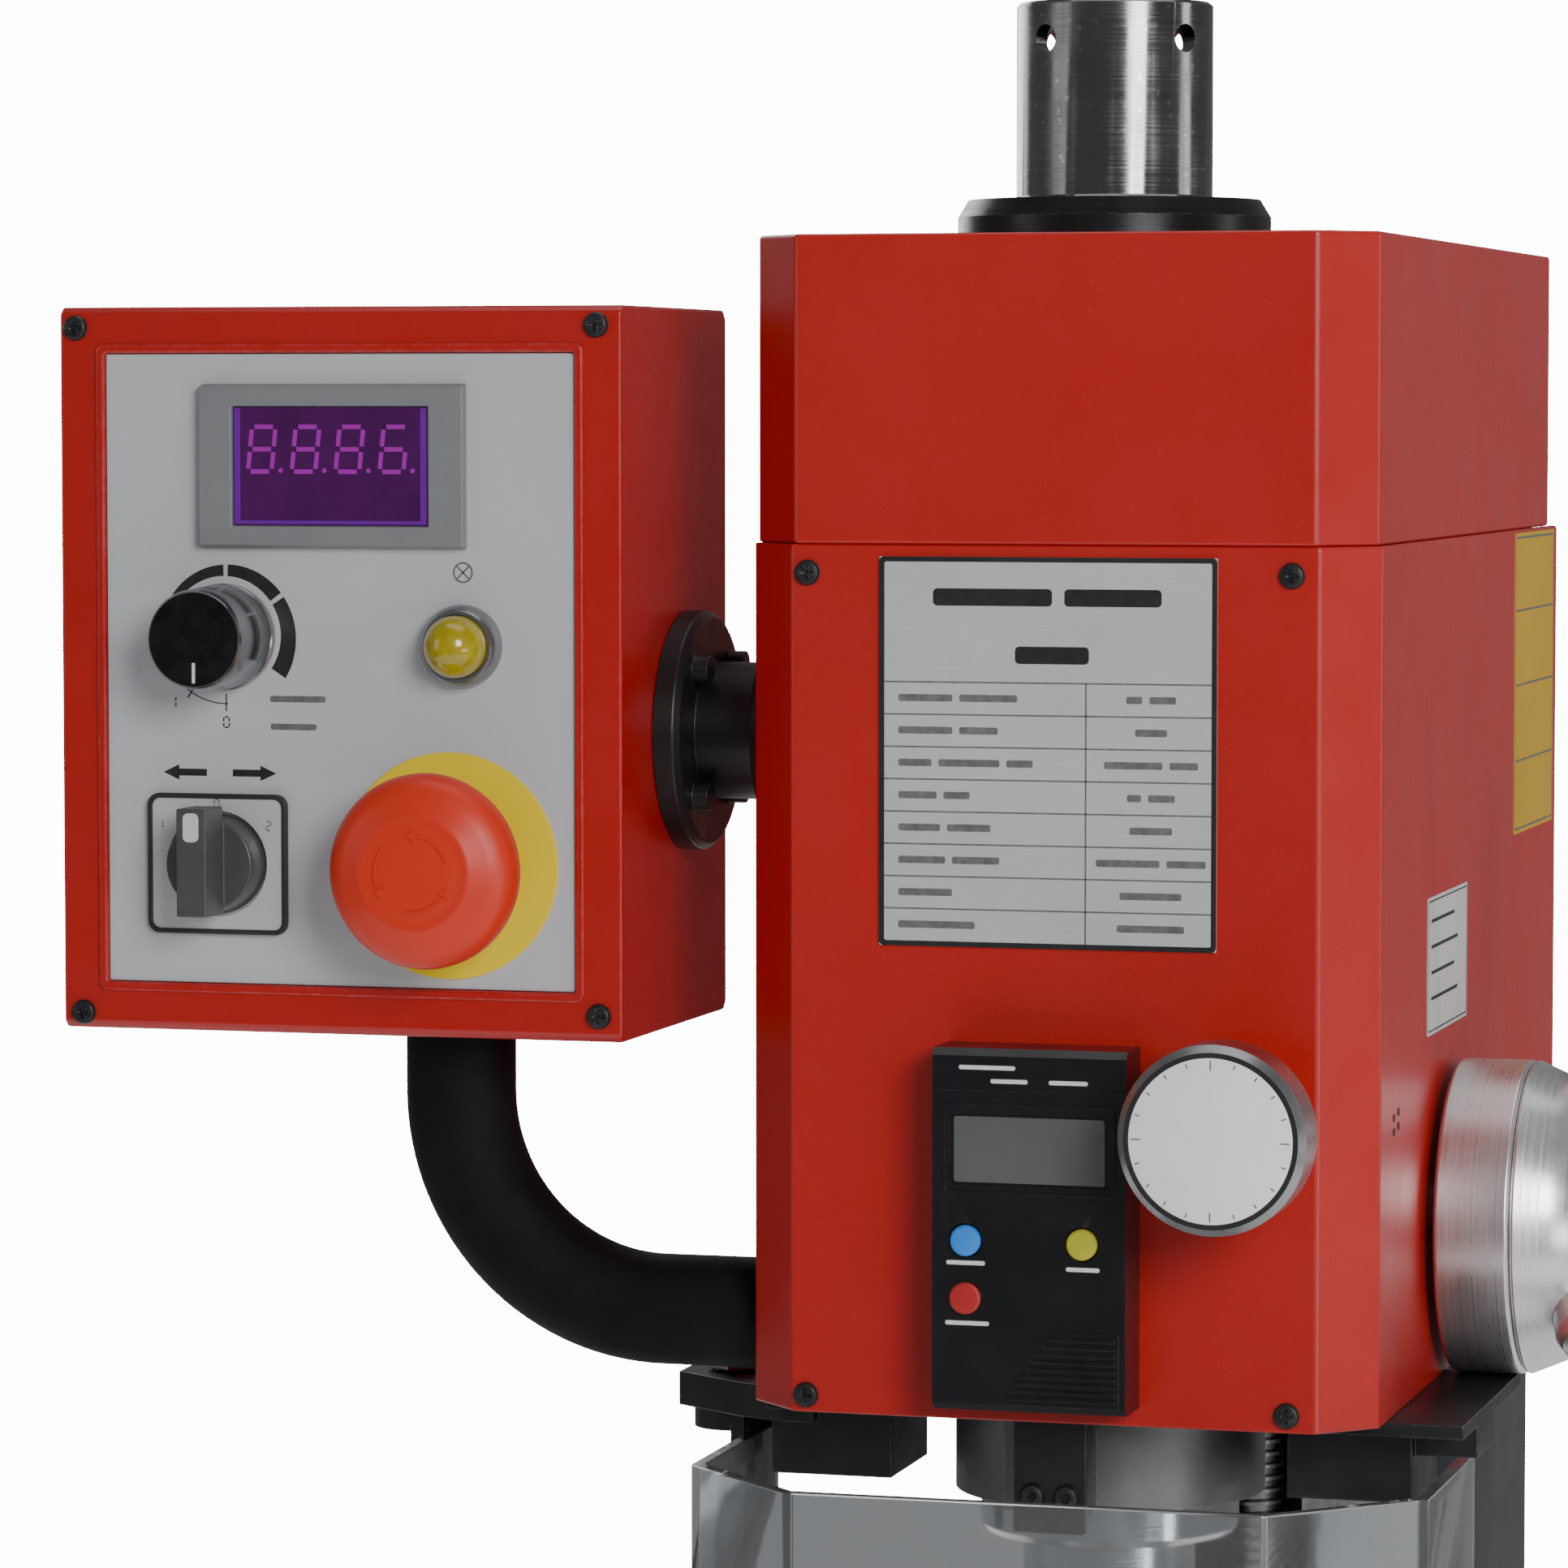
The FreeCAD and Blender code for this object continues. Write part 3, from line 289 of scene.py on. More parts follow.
RED = (0.46, 0.0115, 0.0090)
red_enamel = shader(
    "red_enamel", RED, 0.34, blotch=(9, 0.35, (0.35, 0.0072, 0.0052)), speck=(900, 0.2, (0.50, 0.05, 0.04)),
    bumps=((850, 0.000035), (260, 0.00003)), wear=(0.0007, (0.80, 0.22, 0.18), 0.5),
    rough_swing=0.05, Coat_Weight=0.12, Coat_Roughness=0.2,
)
box_enamel = shader(
    "red_powder_coat", (0.43, 0.0090, 0.0085), 0.30, blotch=(12, 0.3, (0.33, 0.0055, 0.0055)),
    bumps=((700, 0.000014), (220, 0.000008)), wear=(0.0009, (0.78, 0.24, 0.20), 0.5),
    Coat_Weight=0.15, Coat_Roughness=0.2,
)
black_enamel = shader(
    "black_enamel", (0.020, 0.021, 0.024), 0.36, blotch=(14, 0.5, (0.034, 0.035, 0.038)),
    speck=(1100, 0.3, (0.09, 0.09, 0.09)), bumps=((520, 0.00006), (140, 0.00006)),
    wear=(0.001, (0.20, 0.20, 0.21), 0.5), Coat_Weight=0.2, Coat_Roughness=0.25,
)
cast_black = shader(
    "cast_black", (0.028, 0.029, 0.032), 0.5, blotch=(20, 0.5, (0.05, 0.05, 0.053)),
    bumps=((330, 0.00018), (90, 0.00012)), wear=(0.0008, (0.16, 0.16, 0.17), 0.5),
)
cast_grey = shader(
    "machined_iron", (0.17, 0.172, 0.176), 0.42, 0.75, blotch=(35, 0.6, (0.11, 0.11, 0.112)),
    brushed=(900, 40, 900, 0.00004), wear=(0.0006, (0.42, 0.42, 0.43), 0.6),
)
ground_steel = shader(
    "ground_steel", (0.50, 0.51, 0.52), 0.26, 0.95, blotch=(16, 0.5, (0.38, 0.385, 0.39)),
    speck=(700, 0.35, (0.22, 0.21, 0.20)), brushed=(30, 1500, 1500, 0.000012), rough_swing=0.07,
)
ways_steel = shader(
    "ground_ways", (0.42, 0.43, 0.44), 0.3, 0.95, blotch=(22, 0.6, (0.30, 0.30, 0.31)),
    brushed=(1400, 1400, 30, 0.000012),
)
bed_steel = shader(
    "ground_bed", (0.42, 0.43, 0.44), 0.3, 0.95, blotch=(22, 0.6, (0.30, 0.30, 0.31)),
    brushed=(1400, 30, 1400, 0.000012),
)


def turned_steel(name, axis, centre, colour=(0.55, 0.555, 0.56), rough=0.2, **more):
    return shader(
        name, colour, rough, 1.0, blotch=(30, 0.4, tuple(c * 0.8 for c in colour)),
        spun=(axis, centre, 1600, 0.000012), **more,
    )


tube_steel = turned_steel(
    "polished_tube", "z", SPINDLE_AXIS, (0.19, 0.19, 0.19), 0.2, speck=(420, 0.4, (0.45, 0.45, 0.45)),
)
quill_steel = turned_steel("quill_steel", "z", SPINDLE_AXIS, (0.52, 0.52, 0.525), 0.17)
black_oxide = shader(
    "black_oxide", (0.016, 0.016, 0.018), 0.3, 0.6, blotch=(60, 0.5, (0.035, 0.035, 0.037)),
    spun=("z", SPINDLE_AXIS, 1500, 0.000012), wear=(0.0006, (0.3, 0.3, 0.3), 0.6),
)
black_metal = shader(
    "blackened_metal", (0.018, 0.018, 0.020), 0.36, 0.4, blotch=(50, 0.5, (0.035, 0.035, 0.037)),
    bumps=((800, 0.00003),), wear=(0.0006, (0.26, 0.26, 0.27), 0.6),
)
satin_alloy = shader(
    "satin_alloy", (0.74, 0.745, 0.75), 0.3, 0.9, blotch=(25, 0.4, (0.62, 0.625, 0.63)),
    spun=("x", FEED_AXIS, 1300, 0.000005), bumps=((1500, 0.000006),), wear=(0.0006, (0.9, 0.9, 0.9), 0.4),
)
chrome = shader(
    "polished_chrome", (0.70, 0.71, 0.72), 0.09, 1.0, blotch=(40, 0.3, (0.60, 0.61, 0.62)),
    speck=(800, 0.25, (0.35, 0.35, 0.35)), bumps=((120, 0.00004),), rough_swing=0.05,
)
screw_steel = shader(
    "rolled_screw", (0.40, 0.40, 0.41), 0.28, 1.0, blotch=(60, 0.6, (0.22, 0.21, 0.19)),
    bumps=((900, 0.00001),),
)
zinc = shader(
    "zinc_plate", (0.62, 0.63, 0.63), 0.28, 1.0, blotch=(300, 0.5, (0.45, 0.46, 0.46)),
    bumps=((1500, 0.00001),),
)
bronze = shader(
    "bearing_bronze", (0.50, 0.31, 0.11), 0.32, 1.0, blotch=(60, 0.6, (0.34, 0.20, 0.08)),
    brushed=(1200, 60, 1200, 0.00002),
)
alloy = shader(
    "cast_alloy", (0.55, 0.56, 0.57), 0.36, 0.95, blotch=(45, 0.5, (0.42, 0.43, 0.44)),
    bumps=((700, 0.00003),),
)
handle_plastic = shader(
    "black_phenolic", (0.012, 0.012, 0.013), 0.16, blotch=(60, 0.5, (0.022, 0.022, 0.023)),
    bumps=((240, 0.00003),), Coat_Weight=0.4, Coat_Roughness=0.08,
)
gloss_black = shader(
    "gloss_black_plastic", (0.007, 0.007, 0.008), 0.2, blotch=(40, 0.5, (0.013, 0.013, 0.014)),
    bumps=((1400, 0.000012),), wear=(0.0004, (0.05, 0.05, 0.05), 0.5),
)
matte_black = shader(
    "moulded_black", (0.016, 0.016, 0.017), 0.5, blotch=(70, 0.5, (0.028, 0.028, 0.03)),
    bumps=((1300, 0.00005),),
)
conduit_rubber = shader(
    "conduit_rubber", (0.003, 0.003, 0.0032), 0.7, blotch=(60, 0.6, (0.007, 0.007, 0.007)),
    bumps=((1100, 0.00005), (150, 0.0001)), Specular_IOR_Level=0.18,
)
belt_rubber = shader(
    "belt_rubber", (0.022, 0.022, 0.023), 0.7, blotch=(90, 0.6, (0.04, 0.04, 0.04)),
    bumps=((1500, 0.00008),),
)
panel_film = shader(
    "panel_film", (0.50, 0.515, 0.54), 0.42, blotch=(14, 0.35, (0.43, 0.445, 0.47)),
    speck=(500, 0.15, (0.36, 0.37, 0.39)),
    bumps=((1700, 0.00002),), rough_swing=0.06,
)
plate_film = shader(
    "plate_film", (0.60, 0.62, 0.64), 0.3, 0.25, blotch=(30, 0.4, (0.52, 0.54, 0.56)),
    brushed=(60, 1000, 1800, 0.000008), speck=(800, 0.2, (0.4, 0.42, 0.44)),
)
print_black = shader(
    "print_black", (0.012, 0.012, 0.013), 0.42, blotch=(300, 0.4, (0.03, 0.03, 0.03)),
    bumps=((1900, 0.000006),),
)
print_grey = shader(
    "print_grey", (0.10, 0.105, 0.11), 0.45, blotch=(400, 0.6, (0.2, 0.2, 0.21)),
    bumps=((1900, 0.000006),),
)
print_white = shader(
    "print_white", (0.75, 0.75, 0.75), 0.5, blotch=(400, 0.4, (0.5, 0.5, 0.5)), bumps=((1900, 0.000006),),
)
face_white = shader(
    "knob_face_white", (0.90, 0.90, 0.90), 0.32, blotch=(50, 0.3, (0.72, 0.72, 0.72)),
    bumps=((1500, 0.000008),),
)
label_yellow = shader(
    "label_yellow", (0.60, 0.36, 0.012), 0.4, blotch=(30, 0.4, (0.48, 0.27, 0.010)),
    bumps=((1500, 0.00001),),
)
label_white = shader(
    "label_white", (0.62, 0.62, 0.60), 0.45, blotch=(40, 0.4, (0.5, 0.5, 0.48)), bumps=((1500, 0.00001),),
)
bezel_grey = shader(
    "bezel_grey", (0.20, 0.205, 0.215), 0.4, blotch=(60, 0.4, (0.165, 0.17, 0.18)),
    bumps=((1500, 0.00002),), wear=(0.0004, (0.4, 0.4, 0.4), 0.4),
)
# The window's purple tint is its own colour; its faint emission is a painted glow, as the pane gives no light.
tinted_window_painted_glow = shader(
    "tinted_window_painted_glow", (0.050, 0.001, 0.062), 0.16, blotch=(55, 0.7, (0.018, 0.0005, 0.026)),
    bumps=((80, 0.00002),),
    Coat_Weight=0.1, Emission_Color=(0.06, 0.0, 0.08, 1), Emission_Strength=0.35,
)
# Painted highlight: the window's rim glows to stand in for light along the window's edges.
painted_highlight_window_rim = shader(
    "painted_highlight_window_rim", (0.10, 0.006, 0.20), 0.2, blotch=(90, 0.5, (0.10, 0.006, 0.2)), bumps=((300, 0.00001),),
    Emission_Color=(0.10, 0.0, 0.26, 1), Emission_Strength=0.35,
)
digit_glow = shader(
    "digit_glow", (0.22, 0.006, 0.24), 0.3, blotch=(300, 0.5, (0.16, 0.005, 0.2)), bumps=((900, 0.000005),),
    Emission_Color=(0.40, 0.005, 0.42, 1), Emission_Strength=0.32,
)
stop_red = shader(
    "mushroom_red", (0.66, 0.028, 0.005), 0.4, blotch=(40, 0.35, (0.58, 0.022, 0.004)),
    bumps=((900, 0.00002),),
    Subsurface_Weight=0.05, Subsurface_Radius=(0.003, 0.001, 0.0005),
)
stop_yellow = shader(
    "disc_yellow", (0.84, 0.64, 0.0), 0.6, blotch=(60, 0.3, (0.78, 0.58, 0.0)), bumps=((1400, 0.00001),),
)
lamp_amber = shader(
    "lamp_amber", (0.42, 0.33, 0.004), 0.14, blotch=(300, 0.6, (0.26, 0.19, 0.003)), bumps=((500, 0.00004),),
    Coat_Weight=0.6, Coat_Roughness=0.05, Subsurface_Weight=0.15, Subsurface_Radius=(0.002, 0.0015, 0.0005),
)
lamp_ring = turned_steel("lamp_ring", "y", LAMP_AXIS, (0.34, 0.345, 0.35), 0.24)
knob_chrome = turned_steel("knob_chrome", "y", KNOB_AXIS, (0.28, 0.285, 0.29), 0.2)
knob_face = shader(
    "knob_face", (0.020, 0.020, 0.022), 0.24, 0.85, spun=("y", KNOB_AXIS, 2600, 0.00006),
    blotch=(200, 0.5, (0.05, 0.05, 0.055)),
)
feed_rim = turned_steel("feed_knob_rim", "y", WORM_AXIS, (0.38, 0.385, 0.39), 0.28)
grey_plastic = shader(
    "selector_grey", (0.055, 0.058, 0.062), 0.34, blotch=(80, 0.4, (0.08, 0.083, 0.087)),
    bumps=((1300, 0.00003),), wear=(0.0005, (0.2, 0.2, 0.21), 0.5),
)
pale_plastic = shader(
    "pale_mark", (0.55, 0.58, 0.60), 0.4, blotch=(100, 0.4, (0.45, 0.48, 0.5)), bumps=((1300, 0.00001),),
)
button_blue = shader(
    "button_blue", (0.03, 0.24, 0.78), 0.4, blotch=(200, 0.4, (0.02, 0.19, 0.65)),
    bumps=((1200, 0.00002),),
)
button_yellow = shader(
    "button_yellow", (0.48, 0.45, 0.03), 0.4, blotch=(200, 0.4, (0.38, 0.36, 0.02)),
    bumps=((1200, 0.00002),),
)
button_red = shader(
    "button_red", (0.42, 0.02, 0.02), 0.4, blotch=(200, 0.4, (0.34, 0.015, 0.015)),
    bumps=((1200, 0.00002),),
)
lcd_glass = shader(
    "lcd_glass", (0.095, 0.10, 0.095), 0.12, blotch=(60, 0.5, (0.12, 0.125, 0.118)),
    bumps=((60, 0.00002),), Coat_Weight=0.5, Coat_Roughness=0.05,
)
clear_guard = shader(
    "clear_polycarbonate", (0.90, 0.93, 0.95), 0.05, blotch=(30, 0.4, (0.80, 0.84, 0.87)),
    bumps=((25, 0.00015),), rough_swing=0.03,
    Transmission_Weight=0.96, IOR=1.5,
)

NODE_FINISH = {
    "base_casting": black_enamel, "column": black_enamel, "column_cap": matte_black,
    "column_bolts": black_metal,
    "y_bearing_block": cast_black, "z_bearing_block": cast_black, "saddle": cast_black, "y_nut": bronze,
    "x_nut": bronze, "table_lock": chrome, "table": ground_steel, "left_end_bracket": cast_black,
    "right_end_bracket": cast_black, "x_leadscrew": screw_steel, "x_handwheel_left": chrome,
    "x_handwheel_right": chrome, "x_handle_left": handle_plastic, "x_handle_right": handle_plastic,
    "y_leadscrew": screw_steel, "y_handwheel": chrome, "y_handle": handle_plastic,
    "z_crank_shaft": screw_steel,
    "z_handwheel": chrome, "z_handle": handle_plastic, "z_leadscrew": screw_steel, "z_carriage": cast_black,
    "z_nut": bronze, "head_casting": cast_grey, "head_housing": red_enamel, "top_cover": red_enamel,
    "spindle_tube": tube_steel, "motor": black_metal, "motor_pulley": alloy, "drive_sleeve": alloy,
    "drive_belt": belt_rubber, "quill": quill_steel, "spindle": quill_steel, "drawbar": black_oxide,
    "pinion_shaft": satin_alloy, "feed_dial": satin_alloy, "feed_hub": satin_alloy,
    "lever_knobs": handle_plastic,
    "fine_feed_knob": feed_rim, "spec_plate": plate_film, "dro_case": gloss_black,
    "dro_button_left": button_blue,
    "dro_button_right": button_yellow, "guard_bracket": black_metal, "guard": clear_guard,
    "guard_hinge": black_metal, "control_box": box_enamel, "control_panel": panel_film,
    "rpm_display": bezel_grey, "fault_lamp": lamp_amber, "speed_knob": knob_chrome,
    "selector_handle": grey_plastic, "estop_stem": matte_black, "estop_button": stop_red,
    "control_arm": black_metal, "cable_conduit": conduit_rubber,
}
for node, finish in NODE_FINISH.items():
    for slot in NODES[node].material_slots:
        slot.material = finish

# ------------------------------------------------------------------ building pieces

INK = 0.00006  # how far heavy printing stands off its face
THIN_INK = 0.00005
BURIED = 0.0002  # how far a stuck-on piece reaches into the face behind it


def front(y):
    """Drawing plane on a forward face: u is X, v is Z, and w comes out towards -Y."""
    return Matrix(((1, 0, 0, 0), (0, 0, -1, y), (0, 1, 0, 0), (0, 0, 0, 1)))


def right(x):
    """Drawing plane on a right face: u is Y, v is Z, and w comes out towards +X."""
    return Matrix(((0, 0, 1, x), (1, 0, 0, 0), (0, 1, 0, 0), (0, 0, 0, 1)))


def left(x):
    """Drawing plane on a left face: u is -Y, v is Z, and w comes out towards -X."""
    return Matrix(((0, 0, -1, x), (-1, 0, 0, 0), (0, 1, 0, 0), (0, 0, 0, 1)))


def rear(y):
    """Drawing plane on a rear face: u is -X, v is Z, and w comes out towards +Y."""
    return Matrix(((-1, 0, 0, 0), (0, 0, 1, y), (0, 1, 0, 0), (0, 0, 0, 1)))


def top(z):
    """Drawing plane on an upper face: u is X, v is Y, and w comes out upwards."""
    return Matrix(((1, 0, 0, 0), (0, 1, 0, 0), (0, 0, 1, z), (0, 0, 0, 1)))


def circle(u, v, r, count=48, start=0.0):
    turns = [start + 2 * pi * k / count for k in range(count)]
    return [(u + r * cos(a), v + r * sin(a)) for a in turns]


def rounded(u0, u1, v0, v1, r, count=6):
    """A rectangle with round corners."""
    corners = ((u1 - r, v0 + r, -pi / 2), (u1 - r, v1 - r, 0), (u0 + r, v1 - r, pi / 2), (u0 + r, v0 + r, pi))
    return [
        (u + r * cos(a + pi / 2 * k / count), v + r * sin(a + pi / 2 * k / count))
        for u, v, a in corners for k in range(count + 1)
    ]


def inset(edges, by):
    u0, u1, v0, v1 = edges
    return u0 + by, u1 - by, v0 + by, v1 - by


class Form:
    """A mesh drawn on a plane."""

    def __init__(self, plane):
        self.plane = plane
        self.bm = bmesh.new()

    def point(self, u, v, w):
        return self.bm.verts.new(self.plane @ Vector((u, v, w)))

    def loop(self, points, w):
        return [self.point(u, v, w) for u, v in points]

    def skin(self, low, high):
        count = len(low)
        for k in range(count):
            self.bm.faces.new((low[k], low[(k + 1) % count], high[(k + 1) % count], high[k]))

    def pad(self, points, low, high):
        """An outline, anticlockwise, from one height to another."""
        near, far = self.loop(points, high), self.loop(points, low)
        self.skin(far, near)
        self.bm.faces.new(near)
        self.bm.faces.new(far[::-1])
        return self

    def ring(self, outer, inner, low, high):
        """The band between two outlines with the same number of points."""
        loops = [self.loop(p, w) for p, w in ((outer, low), (outer, high), (inner, high), (inner, low))]
        for k in range(4):
            self.skin(loops[k], loops[(k + 1) % 4])
        return self

    def border(self, edges, width, corner, inner_corner, low, high):
        """A rectangular frame, its outside at the edges (u0, u1, v0, v1)."""
        return self.ring(rounded(*edges, corner), rounded(*inset(edges, width), inner_corner), low, high)

    def bar(self, u0, u1, v0, v1, low, high):
        return self.pad([(u0, v0), (u1, v0), (u1, v1), (u0, v1)], low, high)

    def dash(self, u, v, width, half, corner, ink=THIN_INK, count=3):
        """A bar with round ends, printed where words would be."""
        return self.pad(rounded(u, u + width, v - half, v + half, corner, count), 0, ink)

    def line(self, start, end, width, low, high):
        (a, b), (c, d) = start, end
        length = math.hypot(c - a, d - b)
        p, q = -(d - b) / length * width / 2, (c - a) / length * width / 2
        return self.pad([(a - p, b - q), (c - p, d - q), (c + p, d + q), (a + p, b + q)], low, high)

    def turn(self, u, v, profile, count=64):
        """A turned shape about (u, v) from (height, radius) stations, lowest first."""
        previous = None
        for w, r in profile:
            current = self.loop(circle(u, v, r, count), w) if r > 1e-7 else [self.point(u, v, w)]
            for k in range(count if previous else 0):
                j = (k + 1) % count
                if len(previous) == 1:
                    self.bm.faces.new((previous[0], current[j], current[k]))
                elif len(current) == 1:
                    self.bm.faces.new((previous[k], previous[j], current[0]))
                else:
                    self.bm.faces.new((previous[k], previous[j], current[j], current[k]))
            previous = current
        return self

    def sector(self, u, v, stations, low, high):
        """A band of an arc, from (angle in degrees, inner radius, outer radius) stations."""
        outer = [(u + b * cos(radians(t)), v + b * sin(radians(t))) for t, a, b in stations]
        inner = [(u + a * cos(radians(t)), v + a * sin(radians(t))) for t, a, b in stations]
        for k in range(len(stations) - 1):
            quad = [inner[k], outer[k], outer[k + 1], inner[k + 1]]
            area = sum(p[0] * q[1] - q[0] * p[1] for p, q in zip(quad, quad[1:] + quad[:1]))
            self.pad(quad if area > 0 else quad[::-1], low, high)
        return self

    def cross_head(self, u, v, r, h):
        """A pan head with a cross recess: a low dome, a steep rim from 0.86 of the radius, and two slots."""
        rings, count, rim = 12, 40, 0.86
        slot_half, slot_reach = 0.14, 0.56
        previous = [self.point(u, v, h * 0.45)]
        for i in range(1, rings + 1):
            s = i / rings
            current = []
            for k in range(count):
                a = 2 * pi * k / count
                x, y = s * cos(a), s * sin(a)
                w = h * (1 - 0.28 * s * s) if s < rim else h * 0.79 * math.sqrt(max(0.0, (1 - s) / (1 - rim)))
                narrow, wide = min(abs(x), abs(y)), max(abs(x), abs(y))
                if narrow < slot_half and wide < slot_reach:
                    w = h * (0.42 + 0.35 * (wide / slot_reach) ** 3)
                current.append(self.point(u + r * x, v + r * y, w))
            for k in range(count):
                j = (k + 1) % count
                if i == 1:
                    self.bm.faces.new((previous[0], current[k], current[j]))
                else:
                    self.bm.faces.new((previous[k], current[k], current[j], previous[j]))
            previous = current
        self.bm.faces.new(previous[::-1])
        return self

    def hexagon(self, u, v, across, low, high):
        return self.pad(circle(u, v, across / math.sqrt(3), 6, pi / 6), low, high)

    def done(self, name, finish, node, bevel=0.0, segments=2, smooth=32, replaces=False):
        """Makes the piece, on the body of a CAD node, or in its place."""
        bmesh.ops.recalc_face_normals(self.bm, faces=self.bm.faces)
        mesh = bpy.data.meshes.new(name)
        self.bm.to_mesh(mesh)
        self.bm.free()
        return settle(add(name, mesh), [finish], node, bevel, segments, smooth, replaces)


def settle(obj, finishes, node, bevel, segments, smooth, replaces):
    for finish in finishes:
        obj.data.materials.append(finish)
    obj.data.polygons.foreach_set("use_smooth", [True] * len(obj.data.polygons))
    obj.data.set_sharp_from_angle(angle=radians(smooth))
    if bevel:
        modifier = obj.modifiers.new("bevel", "BEVEL")
        modifier.width = bevel
        modifier.segments = segments
        modifier.limit_method = "ANGLE"
        modifier.angle_limit = radians(smooth)
        modifier.harden_normals = True
        flat = obj.modifiers.new("triangles", "TRIANGULATE")
        flat.min_vertices = 5
        flat.keep_custom_normals = True
    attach(obj, BODY_OF[node])
    if replaces:
        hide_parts(node)
    return obj


def refine(node, finishes=None, choose=None, bevel=0.0005, segments=2, smooth=28, split=False):
    """A copy of a CAD node with rounded edges, and its finishes chosen by each face's middle.

    split cuts hollow flat faces into triangles first.
    """
    bm = bmesh.new()
    bm.from_mesh(NODES[node].data)
    bmesh.ops.remove_doubles(bm, verts=bm.verts, dist=1e-6)
    bmesh.ops.dissolve_limit(bm, angle_limit=radians(0.5), verts=bm.verts, edges=bm.edges)
    if split:
        hollow = [f for f in bm.faces if len(f.verts) > 4 and not all(loop.is_convex for loop in f.loops)]
        bmesh.ops.triangulate(bm, faces=hollow)
    for face in bm.faces:
        face.material_index = choose(face.calc_center_median(), face.normal) if choose else 0
    mesh = bpy.data.meshes.new(node + "_finished")
    bm.to_mesh(mesh)
    bm.free()
    obj = add(node + "_finished", mesh)
    return settle(obj, finishes or [NODE_FINISH[node]], node, bevel, segments, smooth, True)


SEGMENTS = {
    "0": "abcdef", "1": "bc", "2": "abged", "3": "abgcd", "4": "fgbc",
    "5": "afgcd", "6": "afgedc", "7": "abc", "8": "abcdefg", "9": "abcdfg",
}
SEGMENT_ENDS = {
    "a": ((0, 2), (1, 2)), "b": ((1, 2), (1, 1)), "c": ((1, 1), (1, 0)), "d": ((0, 0), (1, 0)),
    "e": ((0, 1), (0, 0)), "f": ((0, 2), (0, 1)), "g": ((0, 1), (1, 1)),
}


def stroke(form, u, v, height, text, width, lean=0.0, ink=INK):
    """Seven-segment figures, for dials and displays."""
    half, wide = height / 2, height * 0.56
    pitch = wide + height * 0.36
    gap = width * 0.62
    for k, figure in enumerate(text):
        shift = u + k * pitch
        for segment in SEGMENTS[figure]:
            (a, b), (c, d) = SEGMENT_ENDS[segment]
            x0, y0, x1, y1 = a * wide, b * half, c * wide, d * half
            length = math.hypot(x1 - x0, y1 - y0)
            dx, dy = (x1 - x0) / length * gap, (y1 - y0) / length * gap
            x0, y0, x1, y1 = x0 + dx, y0 + dy, x1 - dx, y1 - dy
            form.line((shift + x0 + y0 * lean, v + y0), (shift + x1 + y1 * lean, v + y1), width, 0, ink)


# ------------------------------------------------------------------ castings, housing and box

# Where the finish changes on each casting.
BED_LEVEL = 0.0955
WAYS_FRONT, WAYS_FOOT = 0.1095, 0.12
TABLE_SKIN = 0.069
TABLE_EDGE = 0.18
BOSS_TOP = 0.93255


def is_bed(middle, normal):
    """Each of these gives the place of a face's finish in the list that refine is given."""
    return int(middle.z > BED_LEVEL)


def is_ways(middle, normal):
    return int(middle.y < WAYS_FRONT and middle.z > WAYS_FOOT)


def is_cast_side(middle, normal):
    outside = abs(normal.y) > 0.9 and abs(middle.y - SPINDLE_AXIS[1]) > TABLE_SKIN
    return int(outside and middle.z < TABLE_EDGE)


def is_boss(middle, normal):
    return int(middle.z < BOSS_TOP)


refine("head_housing", bevel=0.0012, segments=3)
refine("top_cover", bevel=0.0012, segments=3, split=True)
refine("control_box", bevel=0.0010, segments=3)
refine("base_casting", [black_enamel, bed_steel], is_bed, bevel=0.0015)
refine("column", [black_enamel, ways_steel], is_ways, bevel=0.0010)
refine("saddle", bevel=0.0006)
refine("table", [ground_steel, cast_black], is_cast_side, bevel=0.0005)
for node in (
    "z_carriage", "y_bearing_block", "z_bearing_block", "left_end_bracket", "right_end_bracket",
    "guard_bracket", "guard_hinge", "column_cap", "column_bolts", "dro_case", "rpm_display",
    "selector_handle", "control_arm", "feed_dial", "table_lock", "motor",
):
    refine(node, bevel=0.0005)
for node in ("x_handwheel_left", "x_handwheel_right", "y_handwheel", "z_handwheel", "feed_hub"):
    refine(node, bevel=0.0007)
refine("guard", bevel=0.0006)
refine("control_panel", bevel=0.0004)
refine("spindle_tube", [tube_steel, black_oxide], is_boss, bevel=0.0004)

# ------------------------------------------------------------------ head front

FRONT = start_of("head_housing", "y")


def cross_screws(name, plane, node, places, radius, height):
    screws = Form(plane)
    for u, v in places:
        screws.cross_head(u, v, radius, height)
    screws.done(name, black_metal, node, smooth=50)


FACE_SCREW = (0.0037, 0.0021)
SCREW_SEAT = front(FRONT + 0.0001)
HOUSING_SCREWS = ((-0.0705, 0.827), (0.0673, 0.827), (-0.0709, 0.595), (0.0669, 0.595))
BOX_SCREWS = ((-0.290, 0.896), (-0.1324, 0.8964), (-0.2888, 0.6977), (-0.1319, 0.7005))
cross_screws("housing_screws", SCREW_SEAT, "head_housing", HOUSING_SCREWS, *FACE_SCREW)
cross_screws("box_screws", SCREW_SEAT, "control_box", BOX_SCREWS, *FACE_SCREW)

# Widths of the dashes in each row of the data plate, left column and right column.
LEFT_WORDS = (
    (0.0155, 0.0165), (0.0155, 0.011), (0.0095, 0.0175, 0.0075), (0.011, 0.0075),
    (0.012, 0.0125), (0.0135, 0.0135), (0.0155,), (0.022,),
)
RIGHT_WORDS = (
    (0.0045, 0.0075), (0.009,), (0.0165, 0.008), (0.004, 0.0075),
    (0.012,), (0.018, 0.011), (0.0175,), (0.019,),
)
TITLE_WORDS = ((-0.034, 0.034, 0.8205), (0.0035, 0.0275, 0.8205), (-0.0105, 0.021, 0.8045))


